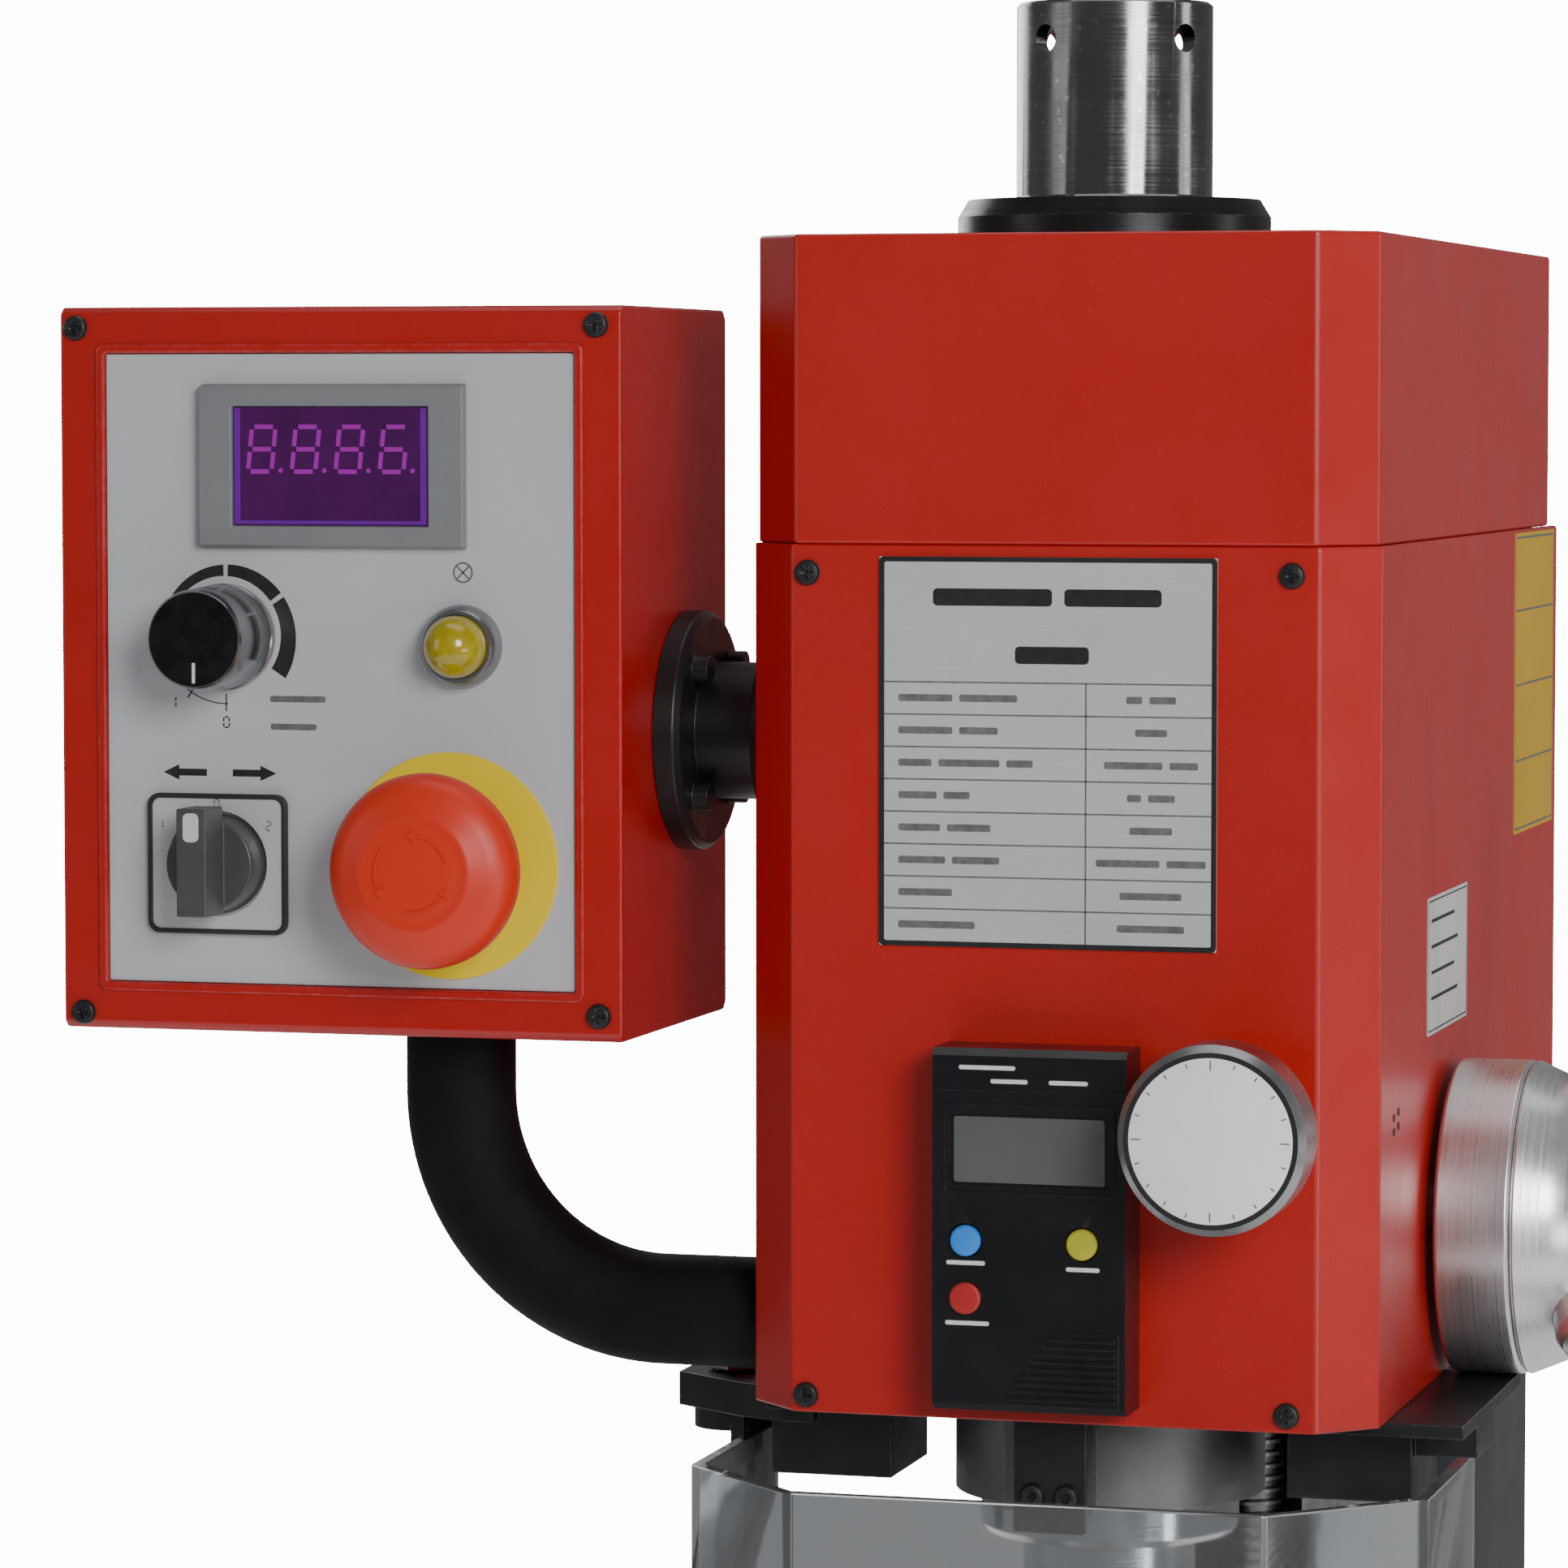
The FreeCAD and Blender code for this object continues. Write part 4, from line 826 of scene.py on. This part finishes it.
def spec_plate():
    """The data plate's border, ruled rows, and dashes in place of its words."""
    plane = front(start_of("spec_plate", "y"))
    outline = edges("spec_plate", "xz")
    plate_left, plate_right, plate_foot, _ = outline
    border = Form(plane)
    border.border(outline, 0.0014, 0.0012, 0.0006, -BURIED, 0.0001)
    border.done("spec_plate_border", print_black, "spec_plate")

    header, divider, half_line, gap = 0.7968, 0.0097, 0.00022, 0.002
    step = (header - plate_foot - 0.0014) / len(LEFT_WORDS)
    rows = Form(plane)
    for k in range(len(LEFT_WORDS)):
        v = header - k * step
        rows.bar(plate_left + 0.0012, plate_right - 0.0012, v - half_line, v + half_line, 0, INK)
    rows.bar(divider - half_line, divider + half_line, plate_foot + 0.001, header, 0, INK)
    rows.done("spec_plate_rows", print_grey, "spec_plate")

    words = Form(plane)
    for k, (lead, tail) in enumerate(zip(LEFT_WORDS, RIGHT_WORDS)):
        v = header - (k + 0.5) * step + 0.0001
        whole = sum(tail) + gap * (len(tail) - 1)
        for u, widths in ((plate_left + 0.0055, lead), ((divider + plate_right) / 2 - whole / 2, tail)):
            for width in widths:
                words.dash(u, v, width, 0.0010, 0.0005)
                u += width + gap
    words.done("spec_plate_words", print_grey, "spec_plate")

    title = Form(plane)
    for u, width, v in TITLE_WORDS:
        title.dash(u, v, width, 0.0024, 0.0012, INK, 4)
    title.done("spec_plate_title", print_black, "spec_plate")


spec_plate()


def readout():
    """The clip-on scale readout: glass, frame line, ribbed battery cover, red button and marks."""
    face = start_of("dro_case", "y")
    glass = Form(front(face + 0.0008))
    glass.pad(rounded(-0.0236, 0.0193, 0.6592, 0.6776, 0.0008), 0, 0.0005)
    glass.done("readout_glass", lcd_glass, "dro_case", bevel=0.0002)

    outline = Form(front(face))
    outline.border((-0.0266, 0.0223, 0.6560, 0.6812), 0.0008, 0.0012, 0.0010, 0, 0.0004)
    outline.bar(-0.0292, 0.0249, 0.6846, 0.6850, 0, 0.0003)
    outline.done("readout_frame", gloss_black, "dro_case", bevel=0.0001)

    cover = Form(front(face))
    cover_right, cover_foot, cover_top = 0.0236, 0.5975, 0.6185
    slant_foot, slant_top, slant_start = -0.0085, 0.0040, 0.6010
    cover.pad([
        (slant_foot, cover_foot), (slant_foot, slant_start), (slant_top, cover_top),
        (cover_right, cover_top), (cover_right, cover_foot),
    ], 0, 0.0005)
    for k in range(9):
        v = 0.5990 + k * 0.0021
        start = -0.0075 + max(0.0, v - 0.6008) * 0.72
        cover.bar(start, 0.0228, v, v + 0.0010, 0.0004, 0.0013)
    cover.done("readout_battery_cover", gloss_black, "dro_case", bevel=0.0002)

    button = Form(front(face))
    stations = ((-0.0005, 0.0), (-0.0005, 0.0044), (0.0012, 0.0044), (0.0017, 0.0038), (0.0018, 0.0))
    button.turn(-0.020, 0.627, stations, 40)
    button.done("readout_red_button", button_red, "dro_case")

    marks = Form(front(face))
    for u, width, v in (
        (-0.0255, 0.0110, 0.6368), (0.0085, 0.0095, 0.6360), (-0.0258, 0.0125, 0.6200),
        (-0.0220, 0.0160, 0.6912), (-0.0130, 0.0105, 0.6875), (0.0035, 0.0110, 0.6875),
    ):
        marks.dash(u, v, width, 0.0006, 0.0005)
    marks.done("readout_marks", print_white, "dro_case")

    stations = (
        (-0.0056, 0.0), (-0.0056, 0.0043), (-0.0009, 0.0043), (-0.0003, 0.0038), (0.0, 0.0024), (0.0, 0.0),
    )
    for side, finish in (("left", button_blue), ("right", button_yellow)):
        node = "dro_button_" + side
        cap = Form(front(start_of(node, "y")))
        cap.turn(*axis_of(node, "xz"), stations, 40)
        cap.done("readout_" + side + "_button", finish, node, replaces=True)


readout()


def fine_knob():
    """The white face of the fine-feed knob, with its dark line and twenty ticks."""
    u, v = WORM_AXIS
    plane_y = start_of("fine_feed_knob", "y")
    face_radius, line_radius = 0.0226, 0.0240
    face = Form(front(plane_y))
    face.turn(u, v, (
        (-0.0004, 0.0), (-0.0004, face_radius), (0.0001, face_radius),
        (0.0003, face_radius - 0.0004), (0.0003, 0.0),
    ), 96)
    face.done("fine_knob_face", face_white, "fine_feed_knob")
    line = Form(front(plane_y))
    line.ring(circle(u, v, line_radius, 96), circle(u, v, face_radius, 96), -0.0004, 0.0002)
    line.done("fine_knob_line", print_black, "fine_feed_knob")
    ticks = Form(front(plane_y - 0.0003))
    for k in range(20):
        a = radians(90 - 18 * k)
        inner, outer = 0.0192 if k % 5 == 0 else 0.0205, 0.0218
        c, s = cos(a), sin(a)
        ticks.line((u + inner * c, v + inner * s), (u + outer * c, v + outer * s), 0.00035, 0, THIN_INK)
    ticks.done("fine_knob_ticks", print_grey, "fine_feed_knob")


fine_knob()

# ------------------------------------------------------------------ control box face

PANEL = start_of("control_panel", "y")
FINE_PRINT = 0.0004


def box_rim():
    rim = Form(front(FRONT))
    around = inset(edges("control_panel", "xz"), -0.0029)
    rim.border(around, 0.0026, 0.0022, 0.0012, -0.0006, 0.0009)
    rim.done("box_front_rim", box_enamel, "control_box", bevel=0.0008, segments=3)


box_rim()


def speed_arc(form):
    """The growing arc round the speed knob in three parts, and the thin arc to the off mark."""
    u, v = KNOB_AXIS
    first, last = 144, -33
    for start, end in ((first, 92), (88, 37), (33, last)):
        stations = []
        for k in range(17):
            t = start + (end - start) * k / 16
            grow = (first - t) / (first - last)
            stations.append((t, 0.0178 - 0.0012 * grow, 0.0203 + 0.0014 * grow))
        form.sector(u, v, stations, 0, INK)
    form.sector(u, v, [(t, 0.0192, 0.0195) for t in range(232, 273, 4)], 0, INK)
    form.line((u, v - 0.0215), (u, v - 0.0165), FINE_PRINT, 0, INK)
    form.line((u - 0.0118, v - 0.0178), (u - 0.0095, v - 0.0142), FINE_PRINT, 0, INK)
    stroke(form, u - 0.0008, v - 0.0262, 0.0030, "0", FINE_PRINT)
    stroke(form, u - 0.0172, v - 0.0205, 0.0030, "1", FINE_PRINT)


def way_arrow(form, tip, tail, v):
    """An arrow for the selector's direction."""
    way = 1 if tip < tail else -1
    neck = tip + way * 0.0042
    base = tip + way * 0.0048
    form.bar(min(neck, tail), max(neck, tail), v - 0.0010, v + 0.0010, 0, INK)
    head = [(tip, v), (base, v - 0.0022), (base, v + 0.0022)]
    form.pad(head if way > 0 else head[::-1], 0, 0.00007)


def panel_print():
    dark = Form(front(PANEL))
    speed_arc(dark)
    for tip, tail in ((-0.2638, -0.2505), (-0.2292, -0.2425)):
        way_arrow(dark, tip, tail, 0.7680)
    dark.done("panel_print", print_black, "control_panel")

    pale = Form(front(PANEL))
    for u, width, v in ((-0.2310, 0.0170, 0.7895), (-0.2308, 0.0140, 0.7815)):
        pale.dash(u, v, width, 0.0009, 0.0006)
    u, v, arm = LAMP_AXIS[0], 0.8262, 0.0018
    pale.ring(circle(u, v, 0.0030, 32), circle(u, v, 0.0025, 32), 0, INK)
    for s in (-1, 1):
        pale.line((u - arm, v - arm * s), (u + arm, v + arm * s), 0.00045, 0, THIN_INK)
    pale.done("panel_marks", print_grey, "control_panel")


panel_print()


def display():
    """The purple window of the speed display with a faint painted glow, a rim that glows as a painted highlight
    along its edges, and four digits.
    """
    u0, v0 = start_of("rpm_display", "x") + 0.0104, start_of("rpm_display", "z") + 0.0068
    u1, v1 = u0 + 0.0590, v0 + 0.0339
    # The pane keeps its real tint and carries a faint painted glow.
    pane = Form(front(PANEL - 0.0025))
    pane.pad(rounded(u0, u1, v0, v1, 0.0006), -0.0003, 0.0005)
    pane.done("display_window", tinted_window_painted_glow, "rpm_display", bevel=0.0002)

    margin, rim_end, rim_top = 0.0004, 0.0022, 0.0014
    # Three glowing bars: a painted highlight along the window's left, right and lower edges.
    rim = Form(front(PANEL - 0.0030))
    for start, end, foot, head in (
        (u0 + margin, u0 + rim_end, v0 + margin, v1 - margin),
        (u1 - rim_end, u1 - margin, v0 + margin, v1 - margin),
        (u0 + rim_end, u1 - rim_end, v0 + margin, v0 + rim_top),
    ):
        rim.bar(start, end, foot, head, 0, 0.00008)
    rim.done("display_window_rim", painted_highlight_window_rim, "rpm_display")

    digits = Form(front(PANEL - 0.0030))
    for k, figure in enumerate("8886"):
        u, v = u0 + 0.0046 + k * 0.0133, v0 + 0.0154
        stroke(digits, u, v, 0.0128, figure, 0.0013, lean=0.10, ink=0.00012)
        dot = ((0, 0.0), (0, 0.0007), (0.0001, 0.0007), (0.0001, 0.0))
        digits.turn(u + 0.0099, v + 0.0003, dot, 12)
    digits.done("display_digits", digit_glow, "rpm_display")


display()


def speed_knob():
    """A turned skirt with a groove, a dark cap and a white mark."""
    u, v = KNOB_AXIS
    skirt = Form(front(PANEL))
    skirt.turn(u, v, (
        (-0.0155, 0.0), (-0.0155, 0.0029), (0.0005, 0.0029), (0.0005, 0.0152), (0.0030, 0.0153),
        (0.0034, 0.0149), (0.0040, 0.0149), (0.0044, 0.0151), (0.0240, 0.0143), (0.0250, 0.0141),
        (0.0258, 0.0136), (0.0258, 0.0128), (0.0255, 0.0127), (0.0255, 0.0),
    ), 96)
    skirt.done("speed_knob_skirt", knob_chrome, "speed_knob", smooth=40, replaces=True)
    cap = Form(front(PANEL - 0.0254))
    cap.turn(u, v, (
        (0.0, 0.0), (0.0, 0.0130), (0.0006, 0.0133), (0.0006, 0.0128), (0.00045, 0.0122), (0.0003, 0.0),
    ), 96)
    cap.done("speed_knob_cap", knob_face, "speed_knob")
    mark = Form(front(PANEL - 0.0257))
    mark.bar(u - 0.00045, u + 0.00045, v - 0.0124, v - 0.0066, 0.0, 0.00035)
    mark.done("speed_knob_mark", print_white, "speed_knob")


speed_knob()


def lamp():
    """The amber dome, a quarter circle over a short neck, in its turned collar."""
    neck, radius, rise = 0.0070, 0.0090, 0.0098
    quarter = [pi / 2 * k / 12 for k in range(1, 13)]
    dome = Form(front(PANEL))
    stations = [(0.0, 0.0), (0.0, radius), (neck, radius)]
    stations += [(neck + rise * sin(a), radius * cos(a)) for a in quarter]
    dome.turn(*LAMP_AXIS, stations, 64)
    dome.done("lamp_dome", lamp_amber, "fault_lamp", replaces=True)
    collar = Form(front(PANEL))
    collar.turn(*LAMP_AXIS, (
        (0.0, 0.0092), (0.0, 0.0118), (0.0018, 0.0119), (0.0050, 0.0113),
        (0.0062, 0.0102), (0.0062, 0.0092), (0.0, 0.0092),
    ), 64)
    collar.done("lamp_collar", lamp_ring, "fault_lamp")


lamp()


def selector():
    """The selector's square plate and border, its numbers and the pale tip of its handle."""
    u, v = middle_of("selector_handle", "x"), 0.7419
    square = (-0.2680, -0.2255, 0.7215, 0.7620)
    border = Form(front(PANEL))
    border.border(square, 0.0014, 0.0035, 0.0024, 0, 0.0026)
    border.done("selector_border", matte_black, "control_panel", bevel=0.0004)

    plate = Form(front(PANEL))
    outer = rounded(*inset(square, 0.00135), 0.0024, 8)
    hole = circle(u, v, 0.0152, len(outer), -pi / 2 + pi / len(outer))
    plate.ring(outer, hole, 0, 0.0020)
    plate.done("selector_plate", plate_film, "control_panel", bevel=0.0002)

    numbers = Form(front(PANEL - 0.0020))
    stroke(numbers, u - 0.0008, v + 0.0158, 0.0027, "0", FINE_PRINT)
    stroke(numbers, -0.2648, v + 0.0098, 0.0025, "1", FINE_PRINT)
    stroke(numbers, -0.2316, v + 0.0098, 0.0025, "2", FINE_PRINT)
    numbers.done("selector_numbers", print_grey, "control_panel")

    tip = Form(front(PANEL - 0.0229))
    tip.pad(rounded(u - 0.0024, u + 0.0024, v + 0.0075, v + 0.0158, 0.0016, 5), 0, 0.0003)
    tip.done("selector_tip", pale_plastic, "selector_handle", bevel=0.0001)


selector()


def stop_button():
    """The yellow disc, the black collar, and the mushroom with three arrows on its crown."""
    u, v = axis_of("estop_button", "xz")
    bore = 0.0113
    disc = Form(front(PANEL))
    disc.ring(circle(u, v, 0.0325, 96), circle(u, v, bore, 96), 0, 0.0010)
    disc.done("stop_disc", stop_yellow, "control_panel", bevel=0.0003)
    collar = Form(front(PANEL - 0.0010))
    collar.ring(circle(u, v, 0.0150, 72), circle(u, v, bore, 72), 0, 0.0030)
    collar.done("stop_collar", matte_black, "control_panel", bevel=0.0006)

    mushroom = Form(front(PANEL))
    mushroom.turn(u, v, (
        (0.0110, 0.0081), (0.0110, 0.0140), (0.0180, 0.0150), (0.0180, 0.0262), (0.0186, 0.0272),
        (0.0205, 0.0277), (0.0235, 0.0277), (0.0265, 0.0269), (0.0290, 0.0250), (0.0312, 0.0215),
        (0.0326, 0.0168), (0.0331, 0.0160), (0.0329, 0.0152), (0.0334, 0.0130), (0.0338, 0.0080), (0.0340, 0.0),
    ), 96)
    mushroom.turn(u, v, ((0.0221, 0.0), (0.0221, 0.0081), (0.0110, 0.0081)), 96)
    mushroom.done("stop_mushroom", stop_red, "estop_button", smooth=50, replaces=True)

    arrows = Form(front(PANEL - 0.0334))
    depth = 0.0006
    for start in (20, 140, 260):
        arrows.sector(u, v, [(start + k * 6, 0.0104, 0.0113) for k in range(11)], -depth, depth)
        a = radians(start + 66)
        tip = a + 0.22
        arrows.pad([
            (u + 0.0090 * cos(a), v + 0.0090 * sin(a)), (u + 0.0127 * cos(a), v + 0.0127 * sin(a)),
            (u + 0.0110 * cos(tip), v + 0.0110 * sin(tip)),
        ], -depth, depth)
    arrows.done("stop_arrows", stop_red, "estop_button")


stop_button()

# ------------------------------------------------------------------ sides of the head

HEAD_RIGHT = end_of("head_housing", "x")
HEAD_LEFT = start_of("head_housing", "x")
LABEL = 0.00015  # thickness of a stuck-on label
YELLOW_LABEL = (0.058, 0.136, 0.740, 0.834)
WHITE_LABEL = (-0.097, -0.029, 0.692, 0.732)


def side_labels():
    """A yellow and a white label, and the four small holes in front of them as black discs of painted shade."""
    label = Form(right(HEAD_RIGHT))
    label.pad(rounded(*YELLOW_LABEL, 0.001), -BURIED, LABEL)
    label.done("side_label_yellow", label_yellow, "head_housing")
    lines = Form(right(HEAD_RIGHT + LABEL))
    ruled = inset(YELLOW_LABEL, 0.0012)
    lines.border(ruled, 0.0006, 0.001, 0.0008, 0, THIN_INK)
    for v in (0.7625, 0.7862, 0.8095):
        lines.bar(ruled[0] + 0.0006, ruled[1] - 0.0006, v, v + 0.0006, 0, THIN_INK)
    lines.done("side_label_lines", print_grey, "head_housing")

    label = Form(right(HEAD_RIGHT))
    label.pad(rounded(*WHITE_LABEL, 0.0008), -BURIED, LABEL)
    label.done("side_label_white", label_white, "head_housing")
    marks = Form(right(HEAD_RIGHT + LABEL))
    marks.border(inset(WHITE_LABEL, 0.0010), 0.0004, 0.0008, 0.0006, 0, THIN_INK)
    for k in range(4):
        v = 0.7245 - k * 0.0075
        marks.bar(-0.091, -0.052 + 0.006 * (k % 2), v, v + 0.0010, 0, THIN_INK)
    # The four holes are flat black discs: painted shade in place of the holes' depth.
    hole = ((-0.0002, 0.0), (-0.0002, 0.0011), (0.0001, 0.0011), (0.0001, 0.0))
    for u, v in ((-0.150, 0.6745), (-0.150, 0.6705), (-0.143, 0.6755), (-0.143, 0.6715)):
        marks.turn(u, v, hole, 16)
    marks.done("side_label_print_and_hole_shade", print_black, "head_housing")


side_labels()

# ------------------------------------------------------------------ under the head


def readout_strap():
    """The strap that holds the readout's tail to the quill boss, with two socket screws."""
    face, thick = -0.1668, 0.0030
    strap = Form(front(face))
    strap.pad(rounded(-0.0145, 0.0065, 0.5560, 0.5898, 0.0010), 0, thick)
    strap.done("readout_strap", black_metal, "dro_case", bevel=0.0004)
    heads = Form(front(face - thick))
    stations = (
        (-0.0004, 0.0), (-0.0004, 0.0036), (0.0006, 0.0037), (0.0022, 0.0030),
        (0.0026, 0.0020), (0.0026, 0.0016), (0.0012, 0.0015), (0.0012, 0.0),
    )
    for u in (-0.0088, 0.0010):
        heads.turn(u, 0.5665, stations, 36)
    heads.done("strap_screws", black_metal, "dro_case")


readout_strap()


def hinge_nut():
    u, v = axis_of("guard_hinge", "xy")
    nut = Form(top(end_of("guard_bracket", "z") + 0.0003))
    nut.hexagon(u, v, 0.0150, 0.0003, 0.0062)
    nut.turn(u, v, ((0.0, 0.0), (0.0, 0.0040), (0.0092, 0.0040), (0.0097, 0.0034), (0.0097, 0.0)), 32)
    nut.done("hinge_nut", zinc, "guard_hinge", bevel=0.0005)


hinge_nut()

# ------------------------------------------------------------------ head leadscrew thread

# (height, radius) stations of the screw's core: journal, collar, root of the thread, top end.
SCREW_CORE = (
    (0.141, 0.0), (0.141, 0.006), (0.152, 0.006), (0.152, 0.009), (0.180, 0.009),
    (0.180, 0.014), (0.1835, 0.014), (0.190, 0.008), (0.216, 0.008), (0.2165, 0.0068),
    (0.8725, 0.0068), (0.873, 0.006), (0.896, 0.006), (0.896, 0.0),
)


def head_screw(start, end, radius, pitch):
    """A trapezoidal thread on its core, in place of the plain CAD screw."""
    count = 20
    u, v = axis_of("z_leadscrew", "xy")
    root = radius - pitch * 0.5
    profile = ((0.0, root), (0.3, root), (0.45, radius), (0.75, radius), (0.9, root), (1.0, root))
    form = Form(top(0.0))
    previous = None
    for k in range(int((end - start) / pitch) * count + 1):
        a = 2 * pi * k / count
        lift = start + pitch * k / count
        current = [
            form.point(u + r * cos(a), v + r * sin(a), min(max(lift + (share - 1.0) * pitch, start), end))
            for share, r in profile
        ]
        for j in range(len(current) - 1 if previous else 0):
            form.bm.faces.new((previous[j], current[j], current[j + 1], previous[j + 1]))
        previous = current
    bmesh.ops.remove_doubles(form.bm, verts=form.bm.verts, dist=1e-6)
    form.turn(u, v, SCREW_CORE, 32)
    form.done("z_screw_thread", screw_steel, "z_leadscrew", smooth=40, replaces=True)


head_screw(0.216, 0.873, 0.009, 0.004)

# ------------------------------------------------------------------ table and machine details


def collar_marks(name, plane, centre, node):
    """Fifty graduations round the cone of a handwheel's dial, every fifth one long."""
    count, half_width = 50, 0.00018
    foot, foot_radius = 0.0016, 0.02106
    rise, spread = 0.0090, 0.0009
    u, v = centre
    form = Form(plane)
    for k in range(count):
        a = 2 * pi * k / count
        reach = 1.0 if k % 5 == 0 else 0.55
        c, s = cos(a), sin(a)
        corners = []
        for w, r in ((foot, foot_radius), (foot + rise * reach, foot_radius + spread * reach)):
            for side in (-half_width, half_width):
                for lift in (-BURIED, INK):
                    corners.append(form.point(u + (r + lift) * c - side * s, v + (r + lift) * s + side * c, w))
        a0, a1, b0, b1, c0, c1, d0, d1 = corners
        for quad in (
            (a1, c1, d1, b1), (a0, b0, d0, c0), (a0, a1, b1, b0),
            (c0, d0, d1, c1), (a0, c0, c1, a1), (b0, b1, d1, d0),
        ):
            form.bm.faces.new(quad)
    form.done(name, print_black, node)


X_Y, X_Z = axis_of("x_leadscrew", "yz")
Y_CENTRE = axis_of("y_leadscrew", "xz")
Z_CENTRE = axis_of("z_crank_shaft", "yz")
collar_marks("x_dial_right_marks", right(end_of("right_end_bracket", "x")), (X_Y, X_Z), "x_handwheel_right")
collar_marks("x_dial_left_marks", left(start_of("left_end_bracket", "x")), (-X_Y, X_Z), "x_handwheel_left")
collar_marks("y_dial_marks", front(start_of("y_bearing_block", "y")), Y_CENTRE, "y_handwheel")
collar_marks("z_dial_marks", right(end_of("z_bearing_block", "x")), Z_CENTRE, "z_handwheel")


def table_scale():
    """A 300 mm scale on the front of the table, in 5 mm steps, numbered in centimetres from its middle."""
    table_front, table_top = start_of("table", "y"), end_of("table", "z")
    scale_top, half_length, thick = table_top - 0.0045, 0.150, 0.0004
    scale = Form(front(table_front))
    scale.bar(-half_length, half_length, table_top - 0.0165, scale_top, 0, thick)
    scale.done("table_scale", plate_film, "table", bevel=0.0001)
    marks = Form(front(table_front - thick))
    for k in range(-29, 30):
        reach = 0.0055 if k % 2 == 0 else 0.0035
        marks.bar(k * 0.005 - 0.00012, k * 0.005 + 0.00012, scale_top - reach, scale_top, 0, THIN_INK)
    for k in range(-2, 3):
        back = 0.0016 if k else 0.0008
        stroke(marks, k * 0.05 - back, table_top - 0.0150, 0.0028, str(abs(k) * 5), FINE_PRINT)
    marks.done("table_scale_marks", print_black, "table")


table_scale()


def gib_screws(name, plane, node, places, reach):
    """Locknuts with the round ends of their screws standing out."""
    gibs = Form(plane)
    for u, v in places:
        gibs.hexagon(u, v, 0.008, 0, 0.003)
        end = reach + 0.0005
        gibs.turn(u, v, ((0.0, 0.0), (0.0, 0.0024), (reach, 0.0024), (end, 0.0019), (end, 0.0)), 24)
    gibs.done(name, zinc, node, bevel=0.0003)


SADDLE_GIBS = [(u, 0.142) for u in (-0.060, -0.030, 0.030)]
CARRIAGE_GIBS = [(0.106, v) for v in (0.640, 0.690, 0.745, 0.795)]
gib_screws("saddle_gib_screws", front(start_of("saddle", "y")), "saddle", SADDLE_GIBS, 0.0065)
gib_screws("carriage_gib_screws", right(end_of("z_carriage", "x")), "z_carriage", CARRIAGE_GIBS, 0.0060)


def y_block_screws():
    caps = Form(front(start_of("y_bearing_block", "y")))
    stations = (
        (-0.0002, 0.0), (-0.0002, 0.0043), (0.0042, 0.0043), (0.0047, 0.0038),
        (0.0047, 0.0023), (0.0018, 0.0022), (0.0018, 0.0),
    )
    for u in (-0.024, 0.024):
        caps.turn(u, 0.086, stations, 32)
    caps.done("y_block_screws", black_metal, "y_bearing_block")


y_block_screws()


def rear_cover(names, node, y, outline, corner, thick, finish, bevel, screw_radius):
    """A cover plate on a rear face, with a screw in each corner."""
    plate = Form(rear(y))
    plate.pad(rounded(*outline, corner), -BURIED, thick)
    plate.done(names[0], finish, node, bevel=bevel)
    u0, u1, v0, v1 = inset(outline, 0.007)
    corners = [(u, v) for u in (u0, u1) for v in (v0, v1)]
    cross_screws(names[1], rear(y + thick), node, corners, screw_radius, 0.0018)


COLUMN_REAR = 0.220
rear_cover(
    ("column_rear_cover", "column_rear_screws"), "column", COLUMN_REAR, (-0.045, 0.045, 0.300, 0.440),
    0.004, 0.0015, black_enamel, 0.0005, 0.0035,
)
rear_cover(
    ("box_rear_plate", "box_rear_screws"), "control_box", end_of("control_box", "y"),
    (0.140, 0.280, 0.708, 0.887), 0.003, 0.0012, box_enamel, 0.0004, 0.0032,
)


def housing_vents():
    """Seven slots in the left side, each under a small hood."""
    vents, hoods = Form(left(HEAD_LEFT)), Form(left(HEAD_LEFT - 0.0001))
    for k in range(7):
        v = 0.760 + k * 0.008
        vents.pad(rounded(-0.110, -0.050, v, v + 0.0034, 0.0016, 4), -BURIED, 0.0001)
        hoods.pad(rounded(-0.111, -0.049, v + 0.0028, v + 0.0050, 0.0010, 4), -0.0003, 0.0014)
    vents.done("housing_vent_shadows", print_black, "head_housing")
    hoods.done("housing_vent_hoods", red_enamel, "head_housing", bevel=0.0004)


housing_vents()

# ------------------------------------------------------------------ floor


def studio_floor():
    """A pale disc just under the machine."""
    count, level = 96, -0.0002
    ground = bmesh.new()
    inner, outer = (
        [ground.verts.new((u, v, level)) for u, v in circle(0, 0, radius, count)] for radius in (0.7, 1.7)
    )
    ground.faces.new(inner)
    for k in range(count):
        j = (k + 1) % count
        ground.faces.new((inner[k], inner[j], outer[j], outer[k]))
    bmesh.ops.recalc_face_normals(ground, faces=ground.faces)
    mesh = bpy.data.meshes.new("floor")
    ground.to_mesh(mesh)
    ground.free()
    mesh.materials.append(shader(
        "floor_paint", (0.92, 0.92, 0.92), 0.6, blotch=(3, 0.2, (0.88, 0.88, 0.88)), bumps=((400, 0.00005),),
        Emission_Color=(1, 1, 1, 1), Emission_Strength=0.22,
    ))
    return add("floor", mesh)


studio_floor()
